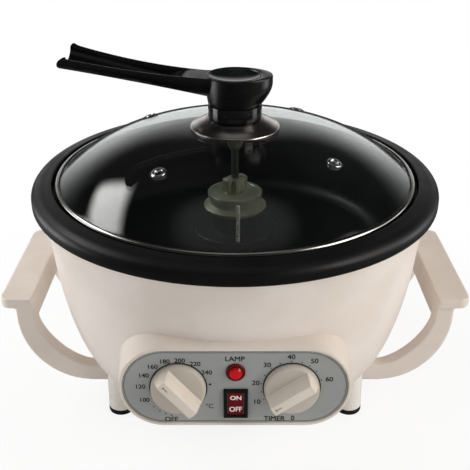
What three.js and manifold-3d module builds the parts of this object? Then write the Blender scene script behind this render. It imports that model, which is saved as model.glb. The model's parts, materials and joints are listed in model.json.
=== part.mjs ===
// Home coffee bean roaster: a round electric pan with a motor stirrer and a glass lid
// Millimetres, +Z up. The table is Z = 0, and the controls face -Y
import * as THREE from 'three';
import { mergeVertices } from 'three/addons/utils/BufferGeometryUtils.js';
import Module from 'manifold-3d';

const wasm = await Module();
wasm.setup();

// Fits and cuts
const fit = 0.3;
const turnFit = 0.4;
const overrun = 3;
const mergeDistance = 0.0005;

// Faceting counts
const bigSides = 40;
const midSides = 24;
const smallSides = 12;
const pinSides = 8;

// Body shell
const bodyBottom = 10;
const bodyHeight = 154;
const bodyRimInset = 4.2;
const bodyWall = 2.8;
const bodyCollarInset = 2.6;
const bodyCollarDrop = 0.8;
const bodyFlangeWidth = 14;
const bodyRings = 9;
const bodyOutlineShares = [
  [0.632, 0], [0.7, 0.022], [0.778, 0.09], [0.838, 0.195], [0.884, 0.325],
  [0.92, 0.487], [0.944, 0.65], [0.958, 0.81], [0.979, 0.92], [1, 1],
];

// Roasting pan
const panRimWidth = 15.8;
const panRimGap = 2;
const panRimDepth = 11.4;
const panRimSlope = 1.2;
const panRollShare = 0.62;
const panRollSteps = 4;
const panRingGap = 2.5;
const panSeatDepth = 7.4;
const panSeatWidth = 8.4;
const panFloorInset = 31.4;
const panDepth = 56;
const panFloorCorner = 14;
const panCornerSteps = 3;
const panCornerSweep = 74;
const panWall = 2.4;
const panBossRadius = 12;
const panBossHeight = 8;

// Lid
const glassRadius = 139.4;
const glassRise = 38.3;
const glassPower = 3;
const glassWall = 4;
const glassRings = 8;
const ringPlay = 0.6;
const ringHeight = 6;
const ringWall = 0.9;
const ringLip = 2.2;
const ventCount = 4;
const ventInset = 51;
const ventAngle = 53.2;
const ventHole = 4.6;
const ventBore = 2.6;
const ventFlange = 5.4;
const ventFlangeHeight = 1.3;

// Lid knob
const skirtRadius = 34.6;
const skirtHeight = 7.6;
const skirtWall = 0.9;
const postRadius = 20.7;
const postHeight = 11;
const collarHeight = 21.6;
const collarRadius = 22.2;
const collarPoint = 6.4;
const collarPointPower = 3;
const collarSwellShare = 1.35;
const collarSteps = 5;
const dishRadius = 19.6;
const dishDepth = 5.6;
const dishSteps = 6;
const capWall = 1.4;
const boltRadius = 3.8;
const boltHeadRadius = 7.5;
const boltHeadHeight = 3.6;
const washerRadius = 14;
const washerHeight = 1.6;
const bushRadius = 6.2;
const bushLength = 13.5;
const bushTipRadius = 4.6;
const bushTipLength = 3.6;

// Lid lever
const armLength = 106;
const armStart = 20;
const armRootWidth = 27;
const armTipWidth = 46;
const armFlare = 1.7;
const armRise = 8.4;
const armCurl = 11.6;
const armDepth = 11.6;
const armWall = 2.4;
const armSlotStart = 40;
const armSteps = 8;
const armSectionSides = 10;
const armSectionPower = 2.5;
const armTipRounding = 5;
const armTipDrop = 7;
const armTipSteps = 4;
const armScrewPlaces = [48, 107];
const armScrewRadius = 2;
const armScrewHeight = 0.9;

// Handles
const gripGap = 4;
const gripDepth = 25.4;
const gripInset = 33;
const gripTop = 94;
const gripPlate = 8;
const gripCorner = 9;
const gripCornerSides = 5;
const webWidth = 13;
const webHeight = 23.6;
const strapWidth = 12;
const strapInset = 1.2;
const strapCentreInset = 38;
const strapCentreHeight = 76;
const strapOuterSpread = 55;
const strapOuterDrop = 60;
const strapThickness = 14;
const strapInnerPower = 1.6;
const strapOuterPower = 2;
const strapSteps = 7;
const handleScrewRadius = 2.2;
const handleScrewHead = 4;
const handleScrewInset = 9;
const handleScrewLength = 16;
const handleScrewHeadHeight = 2.2;
const handleScrewSink = 0.4;

// Feet
const footInset = 36.3;
const footAngle = 39.19;
const footRadius = 10.2;
const footTaper = 1;
const padHeight = 4;
const footTop = 44;
const padRadius = 10.4;

// Base plate
const baseThickness = 1.2;
const baseInset = 3;
const baseVentInset = 32.96;
const baseVentLength = 26;
const baseVentWidth = 3.6;
const baseVentCount = 12;
const baseScrewCount = 3;
const baseScrewInset = 5.5;
const baseScrewRadius = 1.7;
const baseScrewHead = 3.6;
const baseScrewHeadHeight = 2;
const baseScrewLength = 8;

// Control panel
const panelTilt = 5;
const panelProud = 1.6;
const panelDrop = 78.5;
const housingWidth = 156.6;
const housingHeight = 61.2;
const housingDepth = 52;
const housingDraft = 5.2;
const housingEdge = 2.4;
const housingLedge = 2.4;
const housingSides = 9;
const housingRounding = 1.2;
const fasciaThickness = 2;
const fasciaRecess = 0.8;
const windowMargin = 9;
const dialSpacing = 76;
const dialLevel = -0.2;

// Knobs
const knobRadius = 18.6;
const knobDisc = 4.6;
const knobGap = 0.5;
const knobDraft = 1;
const gripBaseWidth = 15;
const gripTopWidth = 6.4;
const gripTopLength = 31.8;
const gripBarHeight = 10.4;
const temperatureAngle = 131.2;
const timerAngle = -145.3;
const spindleRadius = 3;
const spindleSocket = 9;
const spindleDepth = 14;
const neckRadius = 7;
const neckLength = 6;
const thermostatRadius = 16;
const thermostatDepth = 20;
const timerBodySize = 38;
const timerBodyDepth = 24;

// Indicator lamp
const lampPlaceX = 0.4;
const lampPlaceY = 12.2;
const lampRadius = 6.6;
const lampStem = 4.8;
const lampFlange = 1.2;
const lampDome = 2.6;
const lampCrownShare = 0.72;
const lampShoulderShare = 0.7;
const lampDepth = 12;

// Power switch
const switchPlaceX = 0.5;
const switchPlaceY = -12.2;
const switchLip = 1.2;
const switchFlange = 1.6;
const switchBodyWidth = 14;
const switchBodyHeight = 20;
const switchBodyDepth = 17;
const switchWall = 1.3;
const switchFloor = 2;
const rockerTilt = -7;
const rockerGap = 0.7;
const rockerRise = 2.4;
const rockerDip = 1.2;
const rockerShoulder = 2;
const rockerKeel = 6;
const rockerKeelHalf = 3;
const rockerPivot = -1.8;

// Stirrer
const hubHeight = 35.8;
const hubClearance = 2;
const hubTopRadius = 21.8;
const hubFlangeRadius = 25.2;
const hubFlangeHeight = 1.4;
const hubFlangeDrop = 12.5;
const hubNeckRadius = 17.6;
const hubStepRadius = 20;
const hubStep = 3.4;
const carrierEdge = 3;
const carrierHeight = 5;
const wingRadius = 10.1;
const wingBase = 4.4;
const wingHeight = 11.4;
const wingBaseRadius = 6.6;
const wingTipWidth = 4.8;
const wingThickness = 2.6;
const wingAngle = 36;
const wireRadius = 1.6;
const wireOffset = 2.3;
const wirePinGap = 2.6;
const wirePinDrop = 0.5;
const wireBend = 5;
const wireFloorGap = 1.6;
const wireInset = 8;
const wireMiddleShare = 0.8;
const wireSweep = 48;
const wireTipRise = 8;
const wireSteps = 24;
const wireSides = 6;

// Drive
const shaftRadius = 3;
const shaftTail = 2;
const shaftEntry = 6.2;
const bushBoreDepth = 12.4;
const sealRadius = 6;
const sealFlangeRadius = 9;
const sealFlange = 1.4;
const gearModule = 1.5;
const gearTeeth = 30;
const pinionTeeth = 9;
const toothTopShare = 0.26;
const toothRootShare = 0.62;
const toothAddendum = 0.85;
const toothDedendum = 1.15;
const gearThickness = 7;
const gearDrop = 32.8;
const gearHubRadius = 7;
const gearHubHeight = 3;
const caseEndGap = 2.6;
const caseSideGap = 2.225;
const caseWall = 2;
const caseClearance = 1.6;
const motorRadius = 22;
const motorLength = 34;
const motorShaftRadius = 1.6;
const motorShaftDepth = 10;
const bridgeThickness = 2;
const bridgeWidth = 52;
const bridgeInset = 28.96;
const bridgeFoot = 10;
const caseDrop = 3.6;

// Heating
const elementInset = 30;
const elementTube = 3.4;
const elementGapAngle = 26;
const elementEndDrop = 9;
const elementBend = 8;
const elementSteps = 32;
const elementSides = 6;
const shieldInset = 39;
const shieldRise = 9;
const shieldWall = 0.8;
const shieldHole = 12;
const shieldLip = 6;
const cutoutRadius = 9;
const cutoutHeight = 7;
const cutoutInset = 29.5;
const cutoutAngle = 139.6;

// Cord gland in the back of the body, left empty
const glandLevel = 60;
const glandFlangeRadius = 10;
const glandNeckRadius = 6.5;
const glandHole = 4;
const glandProud = 4.8;
const glandFlangeDepth = 9;
const glandNeckDepth = 14.6;

// Worked-out radii and reaches, outwards from the glass
const glassBoltHole = boltRadius + turnFit;
const ventRadius = glassRadius - ventInset;
const ringOuterRadius = glassRadius + ringPlay + ringWall;
const panSeatRadius = ringOuterRadius + panRingGap;
const panFloorRadius = panSeatRadius - panFloorInset;
const panRimRadius = panSeatRadius + panRimWidth;
const bodyMouthRadius = panRimRadius - bodyRimInset;
const baseRadius = bodyOutlineShares[0][0] * bodyMouthRadius - baseInset;
const baseVentRadius = baseRadius - baseVentInset;
const gripWidth = bodyMouthRadius - gripInset;
const gripInnerReach = bodyMouthRadius + gripGap;
const handleReach = gripInnerReach + gripDepth;
const strapCentreReach = bodyMouthRadius - strapCentreInset;
const handleScrewReach = strapCentreReach - handleScrewInset;
const footReach = bodyMouthRadius - footInset;
const panelCentreY = -bodyMouthRadius - panelProud;
const wireReach = panFloorRadius - wireInset;
const wirePinReach = hubFlangeRadius + wirePinGap + wireRadius;
const carrierRadius = wirePinReach + wireRadius + carrierEdge;
const bridgeReach = baseRadius - bridgeInset;
const elementRadius = panFloorRadius - elementInset;
const cutoutReach = elementRadius - cutoutInset;
const shieldRadius = bodyMouthRadius - shieldInset;

// Worked-out levels
const bodyTop = bodyBottom + bodyHeight;
const panelCentreZ = bodyTop - panelDrop;
const panRimEdge = bodyTop + panRimGap;
const panCrest = panRimEdge + panRimDepth;
const panSeat = panCrest + panRimSlope - panSeatDepth;
const panFloor = panSeat - panDepth;
const panUnder = panFloor - panWall;
const panBossTop = panFloor + panBossHeight;
const ringBottom = panSeat + fit;
const glassEdge = ringBottom + ringWall + fit;
const glassTop = glassEdge + glassWall + glassRise;
const skirtBottom = glassHeight(skirtRadius) + fit;
const postBottom = skirtBottom + skirtHeight + fit;
const collarBottom = postBottom + postHeight + fit;
const collarTop = collarBottom + collarHeight;
const boltHeadTop = collarTop - dishDepth - fit;
const boltHeadBottom = boltHeadTop - boltHeadHeight;
const washerTop = glassHeight(washerRadius) - glassWall - fit;
const bushTop = washerTop - washerHeight - fit;
const bushBottom = bushTop - bushLength;
const gearBase = panUnder - gearDrop;
const shaftBottom = gearBase - shaftTail;
const hubBottom = panBossTop + hubClearance;
const hubTop = hubBottom + hubHeight;
const shaftTop = bushBottom + shaftEntry;
const gearDistance = gearModule * (gearTeeth + pinionTeeth) / 2;
const gearTip = gearModule * (gearTeeth / 2 + toothAddendum);
const caseWidth = (gearTip + caseSideGap + caseWall) * 2;
const caseLength = gearDistance + (gearTip + caseEndGap + caseWall) * 2;
const caseBottom = gearBase - caseDrop;
const caseTop = gearBase + gearThickness + gearHubHeight + caseClearance + caseWall;
const bridgeTop = caseBottom - fit;
const motorTop = bridgeTop - bridgeThickness - fit;
const rockerHalf = switchBodyHeight / 2 - switchWall - rockerGap;
const fasciaFront = -fasciaRecess;
const fasciaBack = fasciaFront - fasciaThickness;
const knobBack = fasciaFront + knobGap;

const parts = new THREE.Group();

// Materials, one per piece
function finish(color, roughness, metalness = 0, extra = {}) {
  return new THREE.MeshStandardMaterial({ color, roughness, metalness, ...extra });
}

const cream = () => finish(0xe9dfd5, 0.42);
const blackPlastic = () => finish(0x17181a, 0.5);
const steel = () => finish(0xb9bcc0, 0.28, 1);
const rubber = () => finish(0x141414, 0.85);

function place(name, geometry, material, parent = parts) {
  const mesh = new THREE.Mesh(geometry, material);
  mesh.name = name;
  parent.add(mesh);
  return mesh;
}

// Closed solids from three.js geometries
function solid(geometry) {
  const bare = geometry.clone();
  bare.deleteAttribute('normal');
  bare.deleteAttribute('uv');
  const merged = mergeVertices(bare, mergeDistance);
  const triangles = [];
  for (let i = 0; i < merged.index.count; i += 3) {
    const [a, b, c] = [0, 1, 2].map((k) => merged.index.getX(i + k));
    if (a !== b && b !== c && c !== a) triangles.push(a, b, c);
  }
  return new wasm.Manifold(new wasm.Mesh({
    numProp: 3,
    vertProperties: new Float32Array(merged.attributes.position.array),
    triVerts: new Uint32Array(triangles),
  }));
}

function geometryOf(manifold) {
  const mesh = manifold.getMesh();
  const geometry = new THREE.BufferGeometry();
  const spots = new Float32Array(mesh.vertProperties);
  geometry.setAttribute('position', new THREE.BufferAttribute(spots, 3));
  geometry.setIndex(new THREE.BufferAttribute(new Uint32Array(mesh.triVerts), 1));
  return geometry;
}

function joined(geometries) {
  return geometryOf(geometries.map(solid).reduce((sum, next) => sum.add(next)));
}

function cut(geometry, cutters) {
  return geometryOf(cutters.map(solid).reduce((left, next) => left.subtract(next), solid(geometry)));
}

function moved(geometry, x, y, z) {
  return geometry.clone().translate(x, y, z);
}

// A turned piece, from [radius, height] points listed with the material on their left
function turned(points, sides = midSides) {
  const onAxis = points[0][0] === 0 && points[points.length - 1][0] === 0;
  const loop = onAxis ? points : [...points, points[0]];
  const profile = loop.map(([radius, height]) => new THREE.Vector2(radius, height));
  return new THREE.LatheGeometry(profile, sides).rotateX(Math.PI / 2);
}

function rod(radius, bottom, top, sides = smallSides) {
  return turned([[0, bottom], [radius, bottom], [radius, top], [0, top]], sides);
}

function tube(outer, inner, bottom, top, sides = smallSides) {
  return turned([[inner, bottom], [outer, bottom], [outer, top], [inner, top]], sides);
}

function block(width, depth, height, x, y, bottom) {
  return new THREE.BoxGeometry(width, depth, height).translate(x, y, bottom + height / 2);
}

// A flat outline raised along Z between two levels
function raised(shape, bottom, top, curveSegments = housingSides, steps = 1) {
  const depth = top - bottom;
  const geometry = new THREE.ExtrudeGeometry(shape, { depth, steps, bevelEnabled: false, curveSegments });
  return geometry.translate(0, 0, bottom);
}

// An outline in X and Z carried along Y between two places
function carried(points, from, to) {
  const shape = new THREE.Shape(points.map(([x, z]) => new THREE.Vector2(x, z)));
  const geometry = new THREE.ExtrudeGeometry(shape, { depth: to - from, bevelEnabled: false });
  return geometry.rotateX(Math.PI / 2).translate(0, to, 0);
}

function stadium(width, height) {
  const shape = new THREE.Shape();
  const half = (width - height) / 2;
  shape.moveTo(-half, -height / 2);
  shape.lineTo(half, -height / 2);
  shape.absarc(half, 0, height / 2, -Math.PI / 2, Math.PI / 2, false);
  shape.lineTo(-half, height / 2);
  shape.absarc(-half, 0, height / 2, Math.PI / 2, Math.PI * 1.5, false);
  return shape;
}

function bar(path, radius, steps, sides) {
  const ring = new THREE.Shape();
  ring.absarc(0, 0, radius, 0, Math.PI * 2, false);
  return new THREE.ExtrudeGeometry(ring, {
    steps, bevelEnabled: false, extrudePath: path, curveSegments: sides,
  });
}

function degrees(angle) {
  return THREE.MathUtils.degToRad(angle);
}

// The body's outside line, and that line moved inward by a distance
function bodyOutline(inset = 0) {
  const knots = bodyOutlineShares.map(([radiusShare, heightShare]) => new THREE.Vector2(
    radiusShare * bodyMouthRadius, bodyBottom + heightShare * bodyHeight,
  ));
  const line = new THREE.SplineCurve(knots);
  return Array.from({ length: bodyRings + 1 }, (_, i) => {
    const point = line.getPointAt(i / bodyRings);
    const along = line.getTangentAt(i / bodyRings);
    return [point.x - along.y * inset, point.y + along.x * inset];
  });
}

function bodyRadiusAt(height) {
  const line = bodyOutline();
  const above = line.findIndex(([, z]) => z >= height);
  const [[r0, z0], [r1, z1]] = [line[above - 1], line[above]];
  return r0 + (r1 - r0) * (height - z0) / (z1 - z0);
}

// The whole space inside the body's outside line, grown so that other pieces clear it
function bodyCore(growth = fit) {
  const line = bodyOutline(-growth);
  const [bottom, top] = [line[0], line[line.length - 1]];
  return turned([[0, bottom[1]], ...line, [0, top[1]]], bigSides);
}

function glassHeight(radius) {
  return glassTop - glassRise * (radius / glassRadius) ** glassPower;
}

// The control panel's own frame: X right, Y up its face, Z outwards
const panel = new THREE.Group();
panel.position.set(0, panelCentreY, panelCentreZ);
panel.rotation.x = degrees(90 - panelTilt);
panel.updateMatrix();
parts.add(panel);

function seenFromPanel(geometry) {
  return geometry.clone().applyMatrix4(panel.matrix.clone().invert());
}

function seenFromBody(geometry) {
  return geometry.clone().applyMatrix4(panel.matrix);
}

// Places on the underside: base screws, and the screws that hold the handles
function around(count, radius, turn = 0) {
  return Array.from({ length: count }, (_, i) => {
    const angle = turn + i * Math.PI * 2 / count;
    return { angle, x: radius * Math.cos(angle), y: radius * Math.sin(angle) };
  });
}
const baseScrewPlaces = around(baseScrewCount, baseRadius - baseScrewInset, Math.PI / 2);

const handleScrewBase = strapCentreHeight - strapOuterDrop + handleScrewSink;

function handleScrewPlaces(sides = [-1, 1]) {
  const across = gripWidth / 2 - strapInset - strapWidth / 2;
  return sides.flatMap((side) => [[side * handleScrewReach, -across], [side * handleScrewReach, across]]);
}

const glandFace = bodyRadiusAt(glandLevel) + glandProud;

function glandRod(radius, from, to) {
  return rod(radius, -to, -from, smallSides).rotateX(Math.PI / 2).translate(0, 0, glandLevel);
}

// Body shell with its control window, gland hole and screw holes
function bodyShell() {
  const outside = bodyOutline();
  const inside = bodyOutline(bodyWall).filter(([, z]) => z > bodyBottom + bodyWall).reverse();
  const collarOuter = bodyMouthRadius - bodyCollarInset;
  const collarTopLevel = panCrest - panWall - bodyCollarDrop;
  const floorRadius = bodyOutlineShares[0][0] * bodyMouthRadius;
  const flangeRadius = floorRadius - bodyFlangeWidth;
  const shell = turned([
    [flangeRadius, bodyBottom], ...outside,
    [collarOuter, bodyTop], [collarOuter, collarTopLevel], [collarOuter - bodyWall, collarTopLevel],
    ...inside,
    [inside[inside.length - 1][0] - bodyWall, bodyBottom + bodyWall], [flangeRadius, bodyBottom + bodyWall],
  ], bigSides);
  const windowShape = stadium(housingWidth - windowMargin * 2, housingHeight - windowMargin * 2);
  const window = seenFromBody(raised(windowShape, -housingDepth, overrun));
  const glandWindow = glandRod(glandNeckRadius + fit, glandFace - glandNeckDepth * 2, glandFace);
  const screwHoles = handleScrewPlaces().map(([x, y]) => (
    moved(rod(handleScrewRadius + fit, handleScrewBase, panSeat - panDepth, pinSides), x, y, 0)
  ));
  const baseHoles = baseScrewPlaces.map(({ x, y }) => (
    moved(rod(baseScrewRadius + fit, 0, bodyBottom + overrun * 2, pinSides), x, y, 0)
  ));
  return cut(shell, [window, glandWindow, ...screwHoles, ...baseHoles]);
}
place('body_shell', bodyShell(), cream());

// Roasting pan: floor with a shaft boss, wall, lid seat and a rolled rim
function panShape() {
  const wallTop = panSeatRadius - panSeatWidth;
  const centre = [panFloorRadius, panFloor + panFloorCorner];
  const corner = (radius) => Array.from({ length: panCornerSteps + 1 }, (_, i) => {
    const angle = -Math.PI / 2 + (i / panCornerSteps) * degrees(panCornerSweep);
    return [centre[0] + radius * Math.cos(angle), centre[1] + radius * Math.sin(angle)];
  });
  const rollHeight = panRimDepth * panRollShare;
  const rollWidth = panRimDepth - panRimSlope;
  const roll = (thickness) => Array.from({ length: panRollSteps + 1 }, (_, i) => {
    const angle = (i / panRollSteps) * Math.PI / 2;
    const radius = panRimRadius - rollWidth + (rollWidth - thickness) * Math.cos(angle);
    return [radius, panCrest - rollHeight + (rollHeight - thickness) * Math.sin(angle)];
  });
  const boss = sealRadius + fit;
  const bossUnder = panBossTop - panWall;
  return turned([
    [boss, bossUnder], [panBossRadius - panWall, bossUnder], [panBossRadius - panWall, panUnder],
    ...corner(panFloorCorner + panWall),
    [wallTop + panWall, panSeat - panWall], [panSeatRadius + panWall, panSeat - panWall],
    [panSeatRadius + panWall, panCrest + panRimSlope - panWall], ...roll(panWall).reverse(),
    [panRimRadius - panWall, panRimEdge], [panRimRadius, panRimEdge], ...roll(0),
    [panSeatRadius, panCrest + panRimSlope], [panSeatRadius, panSeat], [wallTop, panSeat],
    ...corner(panFloorCorner).reverse(), [panBossRadius, panFloor],
    [panBossRadius, panBossTop], [boss, panBossTop],
  ], bigSides);
}
place('roasting_pan', panShape(), finish(0x1b1c1f, 0.55, 0.2));

// Glass lid with its bolt hole and vent holes
function ventPlaces() {
  return Array.from({ length: ventCount }, (_, i) => {
    const angle = degrees(ventAngle + i * 360 / ventCount);
    return [ventRadius * Math.cos(angle), ventRadius * Math.sin(angle)];
  });
}

function glassShape() {
  const radii = Array.from({ length: glassRings + 1 }, (_, i) => (
    glassBoltHole + (glassRadius - glassBoltHole) * i / glassRings
  ));
  const outside = radii.map((radius) => [radius, glassHeight(radius)]).reverse();
  const inside = radii.map((radius) => [radius, glassHeight(radius) - glassWall]);
  const holes = ventPlaces().map(([x, y]) => moved(rod(ventHole, glassEdge, glassTop), x, y, 0));
  return cut(turned([...inside, ...outside], bigSides), holes);
}
place('glass_lid', glassShape(), finish(0xbfc8c6, 0.04, 0, { transparent: true, opacity: 0.3 }));

// Stainless ring clasping the edge of the glass
function ringShape() {
  const inner = ringOuterRadius - ringWall;
  const top = ringBottom + ringHeight + ringWall;
  const lip = inner - ringLip;
  const under = glassHeight(lip) - glassWall - fit;
  const over = glassHeight(lip) + fit;
  return turned([
    [lip, ringBottom], [ringOuterRadius, ringBottom], [ringOuterRadius, top - ringWall],
    [inner, top], [lip, over + ringWall], [lip, over], [inner, glassHeight(glassRadius) + fit],
    [inner, glassEdge - fit], [lip, Math.min(under, glassEdge)],
  ], bigSides);
}
place('lid_ring', ringShape(), steel());

// Four vent eyelets riveted through the glass
function eyeletShape() {
  const middle = glassHeight(ventRadius);
  const slope = glassHeight(ventRadius - ventFlange) - middle;
  const stem = ventHole - fit;
  const top = middle + slope + fit;
  const bottom = middle - glassWall - slope - fit * 2;
  return turned([
    [ventBore, bottom - ventFlangeHeight], [ventFlange, bottom - ventFlangeHeight], [ventFlange, bottom],
    [stem, bottom], [stem, top], [ventFlange, top], [stem, top + ventFlangeHeight],
    [ventBore, top + ventFlangeHeight],
  ], smallSides);
}
ventPlaces().forEach(([x, y], i) => {
  place(`vent_eyelet_${i + 1}`, moved(eyeletShape(), x, y, 0), steel());
});

// Chrome skirt under the knob
place('knob_skirt', turned([
  [boltRadius + fit, skirtBottom + skirtHeight - skirtWall],
  [postRadius, skirtBottom + skirtHeight - skirtWall], [skirtRadius - skirtWall, skirtBottom],
  [skirtRadius, skirtBottom], [skirtRadius, skirtBottom + skirtWall],
  [postRadius + skirtWall, skirtBottom + skirtHeight], [boltRadius + fit, skirtBottom + skirtHeight],
], midSides), finish(0xcfd0d2, 0.12, 1));

// Glossy post between the skirt and the lever's collar
place('knob_post', turned([
  [boltRadius + fit, postBottom], [postRadius, postBottom], [postRadius, postBottom + postHeight],
  [boltRadius + fit, postBottom + postHeight],
], midSides), finish(0x0b0c0d, 0.08));

// Lever: a cup-shaped collar with a long upturned trough to the left
function collarShape() {
  const cup = new THREE.CylinderGeometry(1, 1, collarHeight, midSides, collarSteps).rotateX(Math.PI / 2);
  const spots = cup.attributes.position;
  for (let i = 0; i < spots.count; i += 1) {
    const [x, y] = [spots.getX(i), spots.getY(i)];
    const reach = Math.hypot(x, y);
    const rise = spots.getZ(i) / collarHeight + 1 / 2;
    const swell = Math.sin(Math.min(rise * collarSwellShare, 1) * Math.PI / 2);
    const nose = reach ? Math.max(x / reach, 0) ** collarPointPower * collarPoint : 0;
    const radius = postRadius + swell * (collarRadius - postRadius + nose);
    spots.setXYZ(i, x * radius, y * radius, collarBottom + rise * collarHeight);
  }
  return cup;
}

function armWarp(geometry) {
  const spots = geometry.attributes.position;
  for (let i = 0; i < spots.count; i += 1) {
    const along = Math.max((spots.getZ(i) - armStart) / armLength, 0);
    const width = armRootWidth + (armTipWidth - armRootWidth) * along ** armFlare;
    const lift = armRise * along + armCurl * along ** 2;
    const top = collarTop - fit + lift;
    spots.setXYZ(i, -spots.getZ(i), -spots.getX(i) * width / armRootWidth, top + spots.getY(i));
  }
  return geometry;
}

// Half a rounded trough, wider than deep, seen along the arm
function troughShape(inset) {
  const [half, depth] = [armRootWidth / 2 - inset, armDepth - inset];
  const spots = Array.from({ length: armSectionSides + 1 }, (_, i) => {
    const angle = Math.PI + Math.PI * i / armSectionSides;
    const [c, s] = [Math.cos(angle), Math.sin(angle)];
    const bend = (value) => Math.sign(value) * Math.abs(value) ** (2 / armSectionPower);
    return new THREE.Vector2(half * bend(c), depth * bend(s));
  });
  if (inset) {
    spots.unshift(new THREE.Vector2(-half, overrun));
    spots.push(new THREE.Vector2(half, overrun));
  }
  return new THREE.Shape(spots);
}

// The dish in the collar's top, from its middle out over a number of steps
function dishLine(depth, steps, lift = 0) {
  return Array.from({ length: steps + 1 }, (_, i) => {
    const angle = i / dishSteps * Math.PI / 2;
    return [dishRadius * Math.sin(angle), collarTop + lift - depth * Math.cos(angle)];
  });
}

function leverShape() {
  const outside = raised(troughShape(0), 0, armStart + armLength, 1, armSteps + 2);
  const slot = raised(troughShape(armWall), armSlotStart, armStart + armLength + overrun, 1, armSteps);
  const tipTop = collarTop + armRise + armCurl;
  const tipX = -armStart - armLength;
  const corner = Array.from({ length: armTipSteps + 1 }, (_, i) => {
    const angle = (1 + i / armTipSteps) * Math.PI / 2;
    return [
      tipX + armTipRounding + armTipRounding * Math.cos(angle),
      tipTop - armTipDrop + armTipRounding * Math.sin(angle),
    ];
  });
  const tipCut = carried([
    [tipX - overrun, tipTop - armTipDrop], [tipX - overrun, tipTop + overrun],
    [tipX + armTipRounding, tipTop + overrun], ...corner,
  ].reverse(), -armTipWidth, armTipWidth);
  const dish = turned([
    ...dishLine(dishDepth, dishSteps), [dishRadius, collarTop + overrun], [0, collarTop + overrun],
  ]);
  const hole = rod(boltRadius + fit, collarBottom - overrun, collarTop);
  const sink = rod(boltHeadRadius + fit, boltHeadBottom - fit, collarTop);
  const whole = joined([collarShape(), armWarp(outside)]);
  return cut(whole, [armWarp(slot), tipCut, dish, hole, sink]);
}
place('lid_lever', leverShape(), blackPlastic());

// Dished cap that hides the bolt head
const capShape = turned([
  ...dishLine(dishDepth, dishSteps - 1, fit),
  ...dishLine(dishDepth - capWall, dishSteps - 1, fit).reverse(),
], midSides);
place('lever_cap', capShape, finish(0x101512, 0.2));

// Two small screws in the floor of the trough
function leverScrew(reach) {
  const along = (reach - armStart) / armLength;
  const floor = collarTop - fit + armRise * along + armCurl * along ** 2 - armDepth + armWall;
  const lean = Math.atan((armRise + 2 * armCurl * along) / armLength);
  const head = turned([
    [0, fit], [armScrewRadius, fit], [armScrewRadius, fit + armScrewHeight / 2],
    [armScrewRadius / 2, fit + armScrewHeight], [0, fit + armScrewHeight],
  ], pinSides);
  return head.rotateY(lean).translate(-reach, 0, floor);
}
armScrewPlaces.forEach((reach, i) => {
  place(`lever_screw_${i + 1}`, leverScrew(reach), finish(0xd9dadb, 0.2, 1));
});

// Bolt through the knob, washer under the glass and a guide bush that steadies the shaft
place('lid_bolt', turned([
  [0, bushTop + fit], [boltRadius, bushTop + fit], [boltRadius, boltHeadBottom],
  [boltHeadRadius, boltHeadBottom], [boltHeadRadius, boltHeadTop], [0, boltHeadTop],
], smallSides), steel());
place('lid_washer', tube(washerRadius, boltRadius + fit, washerTop - washerHeight, washerTop), rubber());
place('guide_bush', turned([
  [0, bushBottom + bushBoreDepth], [shaftRadius + turnFit * 2, bushBottom + bushBoreDepth],
  [shaftRadius + turnFit * 2, bushBottom], [bushTipRadius, bushBottom],
  [bushRadius, bushBottom + bushTipLength], [bushRadius, bushTop], [0, bushTop],
], smallSides), finish(0x8d8e84, 0.45, 0.6));

// Side handles: a flat grip over a web, carried by two curved straps
function strapOutline() {
  const arc = (spread, drop, power) => Array.from({ length: strapSteps + 1 }, (_, i) => {
    const angle = (i / strapSteps) * Math.PI / 2;
    const reach = Math.cos(angle) ** (2 / power) * spread;
    return [strapCentreReach + reach, strapCentreHeight - Math.sin(angle) ** (2 / power) * drop];
  });
  const outer = arc(strapOuterSpread, strapOuterDrop, strapOuterPower);
  const inner = arc(strapOuterSpread - strapThickness, strapOuterDrop - strapThickness, strapInnerPower);
  const top = gripTop - gripPlate / 2;
  const root = strapCentreReach - strapOuterSpread / 2;
  return [
    [outer[0][0], top], [inner[0][0], top], ...inner, [root, inner[strapSteps][1]],
    [root, outer[strapSteps][1]], ...[...outer].reverse(),
  ];
}

function gripOutline() {
  const shape = new THREE.Shape();
  const half = gripWidth / 2;
  shape.moveTo(gripInnerReach, -half);
  shape.lineTo(handleReach - gripCorner, -half);
  shape.absarc(handleReach - gripCorner, -half + gripCorner, gripCorner, -Math.PI / 2, 0, false);
  shape.lineTo(handleReach, half - gripCorner);
  shape.absarc(handleReach - gripCorner, half - gripCorner, gripCorner, 0, Math.PI / 2, false);
  shape.lineTo(gripInnerReach, half);
  return shape;
}

function handleShape() {
  const end = gripWidth / 2 - strapInset;
  const web = block(webWidth, end * 2, webHeight, gripInnerReach + webWidth / 2, 0, gripTop - webHeight);
  const straps = [[-end, -end + strapWidth], [end - strapWidth, end]].map(([from, to]) => (
    carried(strapOutline(), from, to)
  ));
  const grip = raised(gripOutline(), gripTop - gripPlate, gripTop, gripCornerSides);
  const whole = joined([grip, web, ...straps]);
  const holes = handleScrewPlaces([1]).flatMap(([x, y]) => [
    moved(rod(handleScrewRadius + fit, 0, gripTop - webHeight, pinSides), x, y, 0),
    moved(rod(handleScrewHead + fit, 0, handleScrewBase + handleScrewHeadHeight + fit, pinSides), x, y, 0),
  ]);
  return cut(whole, [bodyCore(), ...holes]);
}
const rightHandle = handleShape();
place('handle_right', rightHandle, cream());
place('handle_left', rightHandle.clone(), cream()).rotation.z = Math.PI;

const handleScrew = turned([
  [0, handleScrewBase], [handleScrewHead, handleScrewBase],
  [handleScrewHead, handleScrewBase + handleScrewHeadHeight],
  [handleScrewRadius, handleScrewBase + handleScrewHeadHeight],
  [handleScrewRadius, handleScrewBase + handleScrewLength], [0, handleScrewBase + handleScrewLength],
], pinSides);
handleScrewPlaces().forEach(([x, y], i) => {
  place(`handle_screw_${i + 1}`, moved(handleScrew, x, y, 0), steel());
});

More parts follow.
